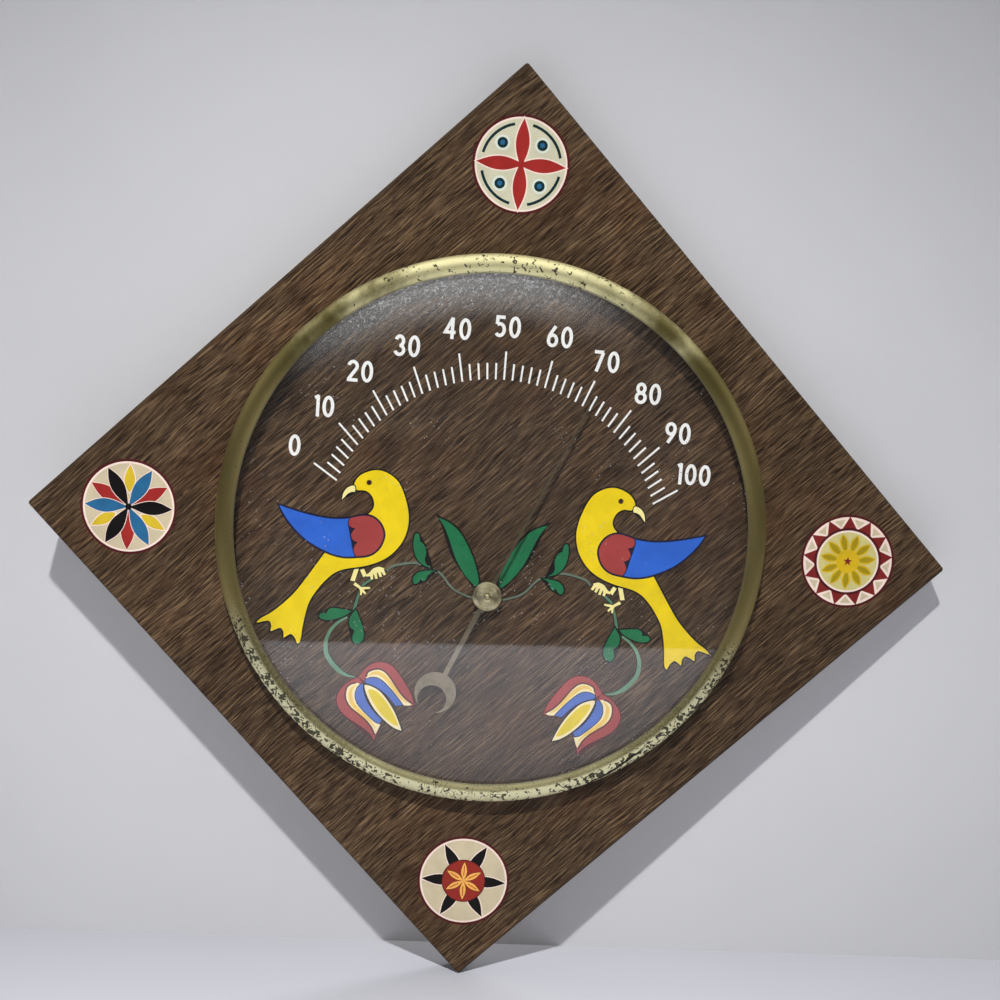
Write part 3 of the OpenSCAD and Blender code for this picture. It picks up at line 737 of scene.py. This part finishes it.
# The middle lines of plain upright digits 6.6 mm high about (0, 0)
DIGITS = {
    "0": [arc_points(0, 0, 1.3, 2.78, 0, 360, 32)],
    "1": [[(0, -3.3), (0, 3.3)], [(0.2, 3.05), (-1.0, 2.45)]],
    "2": [
        [*arc_points(0, 1.42, 1.25, 1.36, 170, -38, 18), (-1.15, -2.5)],
        [(-1.65, -2.8), (1.6, -2.8)],
    ],
    "3": [
        arc_points(-0.05, 1.35, 1.1, 1.43, 165, -88, 18),
        arc_points(-0.05, -1.4, 1.3, 1.38, 92, -165, 20),
    ],
    "4": [[(0.55, 3.2), (-1.6, -1.25), (1.5, -1.25)], [(0.5, 3.2), (0.5, -3.3)]],
    "5": [
        [(1.3, 2.8), (-1.5, 2.8)],
        [(-1.0, 2.8), (-1.1, 0.6)],
        arc_points(-0.2, -1.0, 1.35, 1.78, 128, -140, 20),
    ],
    "6": [
        arc_points(0, -1.2, 1.25, 1.58, 0, 360, 28),
        line([(0.75, 3.15), (-0.2, 1.6), (-1.0, 0.1), (-1.25, -1.2)]),
    ],
    "7": [[(-1.6, 2.8), (1.25, 2.8)], [(1.1, 2.6), (-0.75, -3.2)]],
    "8": [arc_points(0, 1.48, 1.1, 1.32, 0, 360, 26), arc_points(0, -1.35, 1.35, 1.43, 0, 360, 28)],
}
DIGITS["9"] = [[-p for p in path] for path in DIGITS["6"]]


def number(text, x, y):
    """The quads of a whole number, with its middle at (x, y)."""
    steps = [DIGIT_PITCH - CLOSER_AT_1 * ("1" in pair) for pair in zip(text, text[1:])]
    at = x - sum(steps) / 2
    quads = []
    for digit, step in zip(text, [*steps, 0.0]):
        for path in DIGITS[digit]:
            points = [Vector(p) + Vector((at, y)) for p in path]
            closed = (Vector(path[0]) - Vector(path[-1])).length < 1e-6
            if closed:
                points.pop()
            quads += stroke(points, DIGIT_W, closed)
        at += step
    return quads


scale = Print("ink_degree_marks")
for index in range(MARKS):
    scale.add("white", mark(index), 2)
scale.finish()

numbers = Print("ink_numbers")
for text, x, y in (
    ("0", -62.6, 23.8),
    ("10", -54.6, 36.4),
    ("20", -44.0, 47.9),
    ("30", -30.2, 56.7),
    ("40", -15.0, 63.1),
    ("50", 0.15, 64.8),
    ("60", 16.3, 63.0),
    ("70", 31.2, 56.6),
    ("80", 44.9, 47.8),
    ("90", 55.2, 36.4),
    ("100", 61.0, 23.9),
):
    numbers.add("white", number(text, x, y), 2)
numbers.finish()

# The birds, the vines and the tulips, drawn for the left and mirrored for the right

BODY = [
    (-43.5, 13.5), (-41.5, 16.3), (-37.0, 18.0), (-33.2, 17.2), (-29.8, 14.6), (-27.0, 8.5), (-26.0, 3.0),
    (-27.0, -2.5), (-29.8, -7.0), (-33.5, -10.0), (-38.5, -12.1), (-45.0, -13.6), (-48.2, -15.2),
    (-51.2, -18.2), (-53.6, -21.6), (-55.2, -24.6), (-56.2, -28.5), (-56.9, -33.0), (-57.3, -37.0),
    (-58.1, -38.2), (-59.0, -36.5), (-60.3, -35.3), (-61.4, -35.8), (-62.5, -36.5), (-62.7, -34.8),
    (-63.6, -33.6), (-65.0, -34.0), (-66.7, -34.8), (-66.6, -33.0), (-67.4, -31.6), (-69.2, -31.9),
    (-71.2, -32.4), (-70.0, -31.0), (-67.0, -29.0), (-63.5, -25.9), (-60.0, -22.1), (-56.5, -17.0),
    (-53.5, -12.3), (-50.0, -7.0), (-45.0, -1.0), (-41.5, 3.0), (-39.0, 4.0), (-37.5, 5.5), (-37.0, 7.5),
    (-38.0, 10.0), (-40.0, 11.4), (-42.8, 11.5),
]
BEAK = [
    (-43.4, 12.6), (-44.6, 12.5), (-45.9, 11.6), (-46.8, 10.0), (-47.1, 8.0, CORNER), (-46.3, 8.9),
    (-45.3, 10.1), (-44.2, 10.7), (-43.2, 10.9),
]
WING_FRONT = [
    (-41.0, 3.4), (-38.0, 3.5), (-35.3, 1.9), (-33.7, -0.8), (-33.6, -3.2), (-35.0, -6.4), (-37.6, -8.5),
]
WING = [
    (-66.2, 4.9, CORNER), (-60.0, 3.3), (-54.0, 2.2), (-49.0, 1.9), (-44.5, 2.4), *WING_FRONT,
    (-41.5, -9.3), (-45.5, -9.6), (-49.5, -8.9), (-53.7, -7.2), (-57.6, -5.0), (-61.2, -1.9), (-64.2, 1.6),
]
SHOULDER = [
    (-44.2, 2.5, CORNER), *WING_FRONT, (-41.6, -9.3, CORNER), (-42.4, -7.6), (-42.2, -6.0),
    (-41.4, -4.9, CORNER), (-42.9, -4.2), (-43.5, -2.7), (-43.0, -1.4), (-42.3, -0.6, CORNER),
    (-43.6, -0.3), (-44.5, 0.8),
]
SHANKS = [
    [(-41.9, -13.2), (-40.5, -13.2), (-41.5, -17.2), (-42.9, -17.0)],
    [(-40.1, -13.5), (-38.9, -13.0), (-37.9, -14.9), (-38.9, -15.8)],
]
# Each toe's middle line and its widths along it
TOES = [
    ([(-41.6, -17.9), (-39.5, -19.4), (-39.3, -21.4)], (1.0, 0.6)),
    ([(-39.5, -19.3), (-37.9, -20.9)], (0.9, 0.6)),
    ([(-39.5, -19.3), (-36.6, -18.9)], (0.9, 0.6)),
    (
        [(-38.2, -15.2), (-36.8, -14.6), (-35.6, -13.5), (-34.2, -12.9), (-32.7, -13.1)],
        (0.6, 1.2, 1.7, 1.7, 1.3),
    ),
    ([(-36.5, -14.2), (-36.2, -16.2)], (1.0, 0.8)),
    ([(-35.4, -13.8), (-34.8, -15.9)], (1.0, 0.8)),
    ([(-34.2, -13.4), (-33.5, -15.2)], (1.0, 0.8)),
    ([(-33.1, -13.2), (-32.3, -14.5)], (1.0, 0.8)),
]
BIG_LEAF = [
    (-16.9, 4.6, CORNER), (-16.0, 4.4), (-13.5, 3.4), (-10.5, 1.2), (-8.0, -2.0), (-5.5, -6.5),
    (-3.9, -10.5), (-3.0, -13.6), (-3.0, -15.2), (-3.6, -15.9), (-4.6, -15.4), (-7.5, -12.5), (-10.2, -8.5),
    (-11.8, -5.0), (-13.2, -1.5), (-14.6, 1.5), (-15.8, 3.3),
]
BIG_LEAF_BACK = [
    (-18.2, 6.2, CORNER), (-15.8, 4.95), (-13.1, 3.85), (-10.05, 1.6), (-7.5, -1.75), (-5.0, -6.3),
    (-3.4, -10.3), (-2.45, -13.5), (-2.45, -15.6), (-3.4, -16.6), (-4.4, -16.6), (-7.4, -13.0),
    (-9.9, -10.0), (-12.0, -7.0), (-13.3, -4.0), (-14.4, -1.2), (-15.6, 1.8), (-16.7, 4.1),
]
UPPER_LEAF = [
    (-18.0, -11.3, CORNER), (-19.6, -10.2), (-20.2, -8.8), (-19.9, -6.6), (-20.4, -4.7), (-21.3, -3.6),
    (-22.1, -3.2, CORNER), (-22.3, -1.9), (-22.6, -1.0), (-23.3, -0.7), (-23.9, -1.6), (-24.0, -4.5),
    (-23.4, -7.2), (-22.2, -9.2), (-20.4, -10.6),
]
LOWER_LEAF = [
    (-16.4, -12.0, CORNER), (-19.0, -12.2), (-21.4, -12.7), (-23.0, -13.9), (-23.5, -15.4), (-22.9, -16.6),
    (-21.9, -16.3), (-21.0, -15.0, CORNER), (-20.2, -15.6), (-19.4, -15.0), (-19.0, -13.9), (-18.2, -12.8),
]
STEM_LEAVES = [
    [
        (-42.0, -26.6, CORNER), (-44.5, -26.3), (-48.0, -26.1), (-49.3, -27.0), (-49.3, -28.0, CORNER),
        (-51.3, -28.0), (-51.9, -29.1), (-50.8, -29.9), (-48.5, -30.0), (-45.5, -29.1), (-43.2, -27.8),
    ],
    [
        (-40.6, -26.0, CORNER), (-42.3, -28.8), (-42.2, -31.5), (-40.6, -32.8, CORNER), (-41.1, -35.6),
        (-40.0, -36.9), (-38.2, -36.1), (-37.6, -34.0), (-38.3, -31.0), (-39.5, -28.3),
    ],
]
# Each stem's middle line, widths and ink, and how far its black edge is moved and widened
STEMS = [
    (
        [(-4.6, -19.7), (-6.0, -19.4), (-10.0, -17.8), (-12.0, -16.2), (-14.0, -13.8), (-16.0, -12.1),
         (-19.0, -11.2), (-21.0, -10.3), (-24.0, -10.1), (-28.0, -10.9), (-30.5, -11.8), (-31.8, -13.2)],
        (0.6, 0.8), "stem_grey", (0.0, -0.25), 0.0,
    ),
    (
        [(-34.5, -14.6), (-36.5, -16.2), (-39.0, -18.5), (-40.0, -21.5), (-40.6, -23.6), (-41.2, -26.6)],
        (0.8, 0.9), "vine", (0.0, 0.0), 0.5,
    ),
    (
        [(-43.1, -28.6), (-45.9, -30.6), (-48.1, -33.3), (-49.3, -36.8), (-49.0, -40.5), (-47.4, -43.2),
         (-44.9, -45.7), (-42.2, -47.2), (-39.4, -47.6)],
        (0.7, 1.0, 1.4, 1.5, 0.3), "stem_green", (0.28, 0.12), 0.0,
    ),
]
EYE_X, EYE_Y = -39.0, 14.0
UPPER_EDGE = [
    (-24.0, -55.6, CORNER), (-26.2, -56.0, CORNER), (-28.0, -53.9), (-30.0, -52.0), (-33.0, -50.2),
    (-36.0, -49.2),
]
UPPER_LOBE = [
    (-38.4, -47.4, CORNER), (-37.0, -45.4), (-35.4, -43.7), (-33.4, -42.6), (-31.0, -42.3), (-28.6, -43.0),
    (-26.6, -44.7), (-24.8, -47.0), (-23.0, -49.5), (-21.6, -51.8), (-20.7, -54.2), (-20.3, -55.4, CORNER),
    (-21.8, -55.6), *UPPER_EDGE,
]
UPPER_CREAM = [
    (-36.0, -47.3, CORNER), (-35.6, -45.8), (-34.2, -44.9), (-32.2, -44.5), (-30.4, -45.1), (-28.6, -46.8),
    (-26.8, -49.2), (-25.0, -51.6), (-23.0, -53.6), (-20.8, -55.0, CORNER), (-21.8, -55.6), *UPPER_EDGE,
]
UPPER_BAND = [
    (-35.2, -46.9), (-34.0, -46.0), (-32.3, -45.8), (-30.5, -46.7), (-28.6, -48.5), (-26.7, -50.8),
    (-24.7, -53.2), (-22.6, -54.8),
]
UPPER_BLUE = [
    (-36.2, -48.2, CORNER), (-34.5, -47.5), (-32.5, -47.5), (-30.6, -48.5), (-28.6, -50.3), (-26.6, -52.4),
    (-24.4, -55.0), *UPPER_EDGE,
]
LOWER_EDGE = [(-30.2, -60.8, CORNER), (-31.4, -59.8), (-33.6, -57.6), (-35.6, -54.6), (-36.7, -51.6)]
LOWER_LOBE = [
    (-38.2, -47.6, CORNER), (-40.4, -48.6), (-42.4, -50.2), (-44.0, -52.2), (-44.8, -54.6), (-44.4, -57.0),
    (-42.8, -59.4), (-40.4, -61.2), (-37.6, -62.8), (-35.0, -64.4), (-33.2, -66.0), (-32.3, -67.6, CORNER),
    (-31.6, -65.4), (-30.6, -62.4, CORNER), *LOWER_EDGE, (-36.9, -49.8),
]
LOWER_CREAM = [
    (-39.0, -49.4, CORNER), (-40.6, -49.9), (-41.8, -51.0), (-42.2, -53.2), (-41.8, -55.4), (-40.2, -57.6),
    (-37.8, -59.4), (-35.4, -61.2), (-33.4, -63.4), (-32.2, -65.8, CORNER), (-31.6, -65.0),
    (-30.6, -62.4, CORNER), *LOWER_EDGE, (-36.9, -49.8, CORNER),
]
LOWER_BAND = [
    (-39.0, -50.2), (-40.3, -51.4), (-40.6, -53.3), (-40.1, -55.5), (-38.4, -57.7), (-36.1, -59.6),
    (-33.8, -61.5), (-32.0, -63.6),
]
LOWER_BLUE = [
    (-37.6, -49.8, CORNER), (-38.6, -51.2), (-39.0, -53.4), (-38.4, -55.6), (-36.6, -57.8), (-34.4, -59.8),
    (-32.2, -61.6), (-30.8, -62.0, CORNER), *LOWER_EDGE, (-36.9, -49.8),
]
# Each lobe's red outline, cream field, gold band and blue field, and the line round the cream
LOBES = [
    (UPPER_LOBE, UPPER_CREAM, UPPER_BAND, UPPER_BLUE, UPPER_CREAM[:10]),
    (LOWER_LOBE, LOWER_CREAM, LOWER_BAND, LOWER_BLUE, LOWER_CREAM[:10]),
]
HEART = [
    (-36.2, -49.9), (-34.0, -50.3), (-31.5, -51.6), (-29.0, -54.2), (-26.6, -57.6), (-24.9, -61.0),
    (-23.7, -63.9, CORNER), (-26.0, -63.2), (-28.5, -61.6), (-31.0, -59.4), (-33.2, -56.9), (-35.0, -54.0),
    (-36.2, -51.0),
]
HEART_YELLOW = [
    (-35.0, -51.4), (-33.4, -51.3), (-31.3, -52.6), (-29.2, -54.9), (-27.0, -58.0), (-25.5, -60.8),
    (-24.8, -62.4, CORNER), (-26.4, -62.0), (-28.6, -60.6), (-30.8, -58.6), (-32.7, -56.2), (-34.3, -53.6),
]
MIRROR_X = 0.2


def toe_strokes(more):
    """The toes' quads, each wider by more."""
    return [q for points, widths in TOES for q in stroke(line(points), tuple(w + more for w in widths))]


def figures(side, place=None):
    """The bird, vine, leaves and tulip on one side of the dial."""
    vine = Print(f"ink_vine_{side}", place)
    for path, widths, ink, edge, more in STEMS:
        course = line(path)
        under = [p + Vector(edge) for p in course]
        vine.add("black", stroke(under, tuple(w + more for w in widths)), 1)
        vine.add(ink, stroke(course, widths), 2)
    vine.add("black", smooth(BIG_LEAF_BACK), 3)
    vine.add("green", smooth(BIG_LEAF), 4)
    for points in (UPPER_LEAF, LOWER_LEAF, *STEM_LEAVES):
        vine.rimmed("black", "green", smooth(points), 0.46, 3)
    vine.finish()

    bird = Print(f"ink_bird_{side}", place)
    shanks = [[Vector(p) for p in points] for points in SHANKS]
    shank_rims = [piece for shank in shanks for piece in rim(shank, 0.22)]
    bird.add("black", shank_rims + toe_strokes(0.5), 3)
    bird.add("beak", shanks + toe_strokes(0.0), 4)
    bird.rimmed("black", "yellow", smooth(BODY, 4), 0.52, 5)
    bird.rimmed("black", "beak", smooth(BEAK), 0.32, 7)
    bird.add("brown", disc(EYE_X, EYE_Y, 0.85), 7)
    bird.add("black", disc(EYE_X, EYE_Y, 0.45), 8)
    bird.rimmed("navy", "blue", smooth(WING, 4), 0.6, 7)
    bird.rimmed("navy", "bird_red", smooth(SHOULDER, 4), 0.32, 9)
    bird.finish()

    tulip = Print(f"ink_tulip_{side}", place)
    for lobe, cream, band, blue, edge in LOBES:
        tulip.rimmed("rim_maroon", "tulip_red", smooth(lobe), 0.38, 3)
        tulip.add("tulip_cream", smooth(cream), 5)
        tulip.add("tulip_gold", stroke(line(band), (0.3, 1.2, 1.3, 1.1, 0.3)), 6)
        tulip.add("brown_line", stroke(line(edge), 0.55), 6)
        tulip.rimmed("black", "tulip_blue", smooth(blue), 0.26, 7)
    tulip.rimmed("black", "tulip_cream", smooth(HEART), 0.48, 9)
    tulip.add("tulip_yellow", smooth(HEART_YELLOW), 11)
    tulip.finish()


figures("left")
figures("right", lambda outline: [Vector((2 * MIRROR_X - p[0], p[1])) for p in outline])

# The four rosettes

ROSETTE_R = 14.0
RIM_W = 0.75
BORDER_W = 0.6


def rosette(name, x, y, ground, draw):
    """A disc with a maroon rim and a pale border inside it, and what draw adds to it."""

    def place(outline):
        return [Vector((p[0] + x, p[1] + y)) for p in outline]

    figure = Print(f"ink_rosette_{name}", place)
    figure.add("rim_maroon", disc(0, 0, ROSETTE_R + RIM_W, 96), 1)
    figure.add("border", disc(0, 0, ROSETTE_R, 96), 2)
    figure.add(ground, disc(0, 0, ROSETTE_R - BORDER_W, 96), 3)
    draw(figure.add)
    figure.finish()


def bordered(add, ink, shapes, layer, width=0.42):
    """Shapes of one ink with a pale line round them."""
    add("border", [piece for shape in shapes for piece in rim(shape, width)], layer)
    add(ink, shapes, layer + 1)


def top_rosette(add):
    bordered(add, "rosette_red", [petal(13.6, 2.05, 90 * k, -0.9) for k in range(4)], 4)
    add("rosette_red", disc(0, 0, 1.2), 6)
    for k in range(4):
        add("teal", stroke(arc_points(0, 0, 12.0, 12.0, 90 * k + 13, 90 * k + 77, 13), 0.85), 4)
        angle = math.radians(90 * k + 45)
        dot_x, dot_y = 8.5 * math.cos(angle), 8.5 * math.sin(angle)
        add("halo", disc(dot_x, dot_y, 2.3), 4)
        add("teal", disc(dot_x, dot_y, 1.6), 5)
        add("rosette_blue", disc(dot_x, dot_y, 0.75), 6)


def left_rosette(add):
    bordered(add, "rosette_yellow", [petal(13.0, 1.6, 120 * k, 4.5, 0.45) for k in range(3)], 4, 0.3)
    for layer, ink, heading in ((6, "rosette_red", 60), (8, "rosette_blue", 30), (10, "black", 90)):
        bordered(add, ink, [petal(13.4, 2.1, 120 * k + heading, 0.0, 0.54) for k in range(3)], layer, 0.2)
    add("black", disc(0, 0, 1.0), 12)


def right_rosette(add):
    teeth, petals = 13, 11
    add("border", disc(0, 0, ROSETTE_R - BORDER_W + 0.05, 96), 4)
    for k in range(teeth):
        tooth = [Vector((-2.3, 10.2)), Vector((2.3, 10.2)), Vector((0.0, 14.2))]
        gap = [Vector((-1.7, 13.2)), Vector((1.7, 13.2)), Vector((0.0, 11.0))]
        add("rosette_maroon", [turned(tooth, 360 / teeth * k - 2.5)], 5)
        add("disc_tan", [turned(gap, 360 / teeth * (k + 0.5) - 2.5)], 5)
    add("rim_maroon", disc(0, 0, 10.6, 72), 6)
    add("border", disc(0, 0, 9.8, 72), 7)
    add("straw", disc(0, 0, 9.2, 72), 8)
    for k in range(petals):
        add("gold", petal(8.9, 1.4, 180 + 360 / petals * k, 0.0, 0.66), 9)
        add("olive", petal(8.5, 0.85, 180 + 360 / petals * k, 2.0, 0.6), 10)
    add("gold", disc(0, 0, 3.7), 11)
    star = [turned([(0.0, r)], 36 * k)[0] for k, r in enumerate([1.5, 0.62] * 5)]
    add("rosette_maroon", star, 12)


def bottom_rosette(add):
    bordered(add, "black", [petal(13.5, 1.75, 60 * k + 30, 2.0, 0.46) for k in range(6)], 4, 0.32)
    add("rim_maroon", disc(0, 0, 7.05, 60), 6)
    add("rosette_brick", disc(0, 0, 6.75, 60), 7)
    for k in range(6):
        add("black", rim(petal(6.3, 0.95, 60 * k), 0.12), 8)
        add("peach", petal(6.3, 0.95, 60 * k), 9)
        add("rosette_brick", stroke(turned([(0.0, 1.8), (0.0, 5.0)], 60 * k), 0.26), 10)


rosette("top", 0.4, 113.4, "disc_grey", top_rosette)
rosette("left", -112.4, 1.0, "disc_tan", left_rosette)
rosette("right", 112.4, 0.4, "border", right_rosette)
rosette("bottom", -0.6, -111.9, "disc_tan", bottom_rosette)

# The hub's button, which is dished and has rounded edges


def lathe(name, profile, count):
    """A closed solid turned about the pointer's axis.

    The profile's points are (radius, height above the button's back), in millimetres.
    """
    points, faces = [], []
    for radius, height in profile:
        for k in range(count):
            angle = 2 * math.pi * k / count
            x, up = radius * math.sin(angle) * MM, radius * math.cos(angle) * MM
            points.append((x, button_high.y - height * MM, HUB_Z + up))
    rows = len(profile)
    for i in range(rows):
        low, high = i * count, (i + 1) % rows * count
        for k in range(count):
            after = (k + 1) % count
            faces.append((low + k, low + after, high + after, high + k))
    mesh = bpy.data.meshes.new(name)
    mesh.from_pydata(points, [], faces)
    mesh.polygons.foreach_set("use_smooth", [True] * len(faces))
    mesh.update()
    return linked(name, mesh)


SEAT_R = 1.03
BUTTON_PROFILE = [
    (SEAT_R, 0.0), (4.44, 0.0), (4.5, 0.06), (4.5, 0.22), (4.46, 0.27), (4.38, 0.3), (3.64, 0.3),
    (3.56, 0.32), (3.53, 0.38), (3.52, 0.54), (3.48, 0.61), (3.4, 0.65), (3.28, 0.65), (3.1, 0.62),
    (2.5, 0.57), (1.8, 0.53), (1.5, 0.52), (1.42, 0.48), (1.38, 0.3), (1.3, 0.24), (SEAT_R, 0.24),
]
button = lathe("hub_button_turned", BUTTON_PROFILE, 96)
button.data.materials.append(SLOT_MATERIALS["turned_brass"])
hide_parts("hub_button")
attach(button, "pointer_spindle")

# Camera, fitted to the plaque's four corners in the photograph

SENSOR_W = 36.0
FOCAL_PX, PICTURE_PX = 950.0, 1000.0
CAMERA_AT = Vector((-5.76, -309.86, -61.43)) * MM
AIM_AT = Vector((1.79, -15.7, -86.41)) * MM
CAMERA_ROLL = -4.384

camera_data = bpy.data.cameras.new("camera")
camera_data.sensor_width = SENSOR_W
camera_data.lens = SENSOR_W * FOCAL_PX / PICTURE_PX
camera_data.clip_start = 0.01
camera_data.clip_end = 50
camera = linked("camera", camera_data)
ahead = (AIM_AT - CAMERA_AT).normalized()
level = ahead.cross(Vector((0, 0, 1))).normalized()
upright = level.cross(ahead)
roll = math.radians(CAMERA_ROLL)
camera_up = upright * math.cos(roll) + level * math.sin(roll)
camera_right = ahead.cross(camera_up)
turn = Matrix((camera_right, camera_up, -ahead)).transposed()
camera.matrix_world = Matrix.Translation(CAMERA_AT) @ turn.to_4x4()
bpy.context.scene.camera = camera

# Stage, lamps and world

WALL_Y, WALL_TURN, WALL_LEAN = 0.00086, -0.0524, -0.0534
FLOOR_Z, FLOOR_TILT, FLOOR_RISE = -0.2413, 0.0515, -0.2212
FLOOR_ZERO_Y = -0.0157
FAR_FLOOR_DROP = 0.0004
WALL_COLOUR = srgb(204, 204, 206)
FLOOR_COLOUR = srgb(203, 204, 212)


def on_wall(x, z):
    """A point of the wall, which leans a little to the plaque."""
    return (x, WALL_Y + WALL_TURN * x + WALL_LEAN * z, z)


def on_floor(x, y, down=0.0):
    """A point of the floor, which rises a little towards the right and the viewer."""
    return (x, y, FLOOR_Z + FLOOR_TILT * x + FLOOR_RISE * (y - FLOOR_ZERO_Y) - down)


def rectangle(low, high):
    """The corners of a rectangle, against the clock from its lowest."""
    return [low, (high[0], low[1]), high, (low[0], high[1])]


def stage_plane(name, corners, colour, seen_behind=True):
    """A pale matt plane. One that isn't seen from behind is clear there."""
    mesh = bpy.data.meshes.new(name)
    mesh.from_pydata(corners, [], [(0, 1, 2, 3)])
    made, n, place, _ = material(name)
    tone = n.mix(n.span(n.noise(place, 9.0, 3.0), 0.3, 0.7), colour, scaled(colour, 0.97))
    shader = n.add("ShaderNodeBsdfDiffuse", Color=tone).outputs[0]
    if not seen_behind:
        behind = n.add("ShaderNodeNewGeometry").outputs["Backfacing"]
        shader = n.mix_shaders(behind, shader, n.add("ShaderNodeBsdfTransparent").outputs[0])
    n.output(shader)
    mesh.materials.append(made)
    plane = linked(name, mesh)
    return plane


wall = stage_plane("backdrop", [on_wall(*c) for c in rectangle((-3, -0.7), (3, 3))], WALL_COLOUR, False)
for flag in ("visible_diffuse", "visible_glossy", "visible_transmission", "visible_shadow"):
    setattr(wall, flag, False)
stage_plane("floor", [on_floor(*c) for c in rectangle((-1.2, -0.256), (1.2, 0.5))], FLOOR_COLOUR)
far_corners = [on_floor(*c, FAR_FLOOR_DROP) for c in rectangle((-2, -0.5), (2, 1.5))]
far_floor = stage_plane("floor_far", far_corners, FLOOR_COLOUR)
far_floor.visible_glossy = False


def lamp(name, place, aim, size, power, spread=math.pi):
    """A round area lamp."""
    data = bpy.data.lights.new(name, "AREA")
    data.shape = "DISK"
    data.size = size
    data.energy = power
    data.spread = spread
    light = linked(name, data)
    way = (Vector(aim) - Vector(place)).normalized()
    light.matrix_world = Matrix.Translation(place) @ way.to_track_quat("-Z", "Y").to_matrix().to_4x4()
    return light


KEY_AT = Vector((-0.0605, -0.4047, 0.2673))
KEY_WAY = Vector((0.04, 0.26, -0.966))
FILL_STRENGTH = 0.265
key = lamp("key", KEY_AT, KEY_AT + KEY_WAY, size=0.018, power=2.0, spread=2.0)
key.visible_glossy = False
lamp("back", (0.5, 0.9, 0.5), (0, 0, MIDDLE_Z), size=0.5, power=4.0)

world = bpy.data.worlds.new("studio")
bpy.context.scene.world = world
world.use_nodes = True
n = Nodes(world.node_tree)
direction = n.add("ShaderNodeTexCoord").outputs["Generated"]
rise = n.dot(direction, (0.0, 0.0, 1.0))
paths = n.add("ShaderNodeLightPath")
fill = n.add("ShaderNodeBackground", Color=(1.0, 1.0, 1.0, 1.0), Strength=FILL_STRENGTH).outputs[0]
pale = n.add("ShaderNodeBackground", Color=srgb(204, 205, 210), Strength=1.0).outputs[0]
room = n.plus(n.span(rise, 0.1, 0.6, 0.06, 1.5), n.span(rise, -0.14, -0.62, 0.0, 1.05))
mirrored = n.add("ShaderNodeBackground", Color=n.grey(room), Strength=1.0).outputs[0]
lit = n.mix_shaders(paths.outputs["Is Glossy Ray"], fill, mirrored)
n.add("ShaderNodeOutputWorld", Surface=n.mix_shaders(paths.outputs["Is Camera Ray"], lit, pale))

bpy.context.scene.view_settings.view_transform = "Standard"
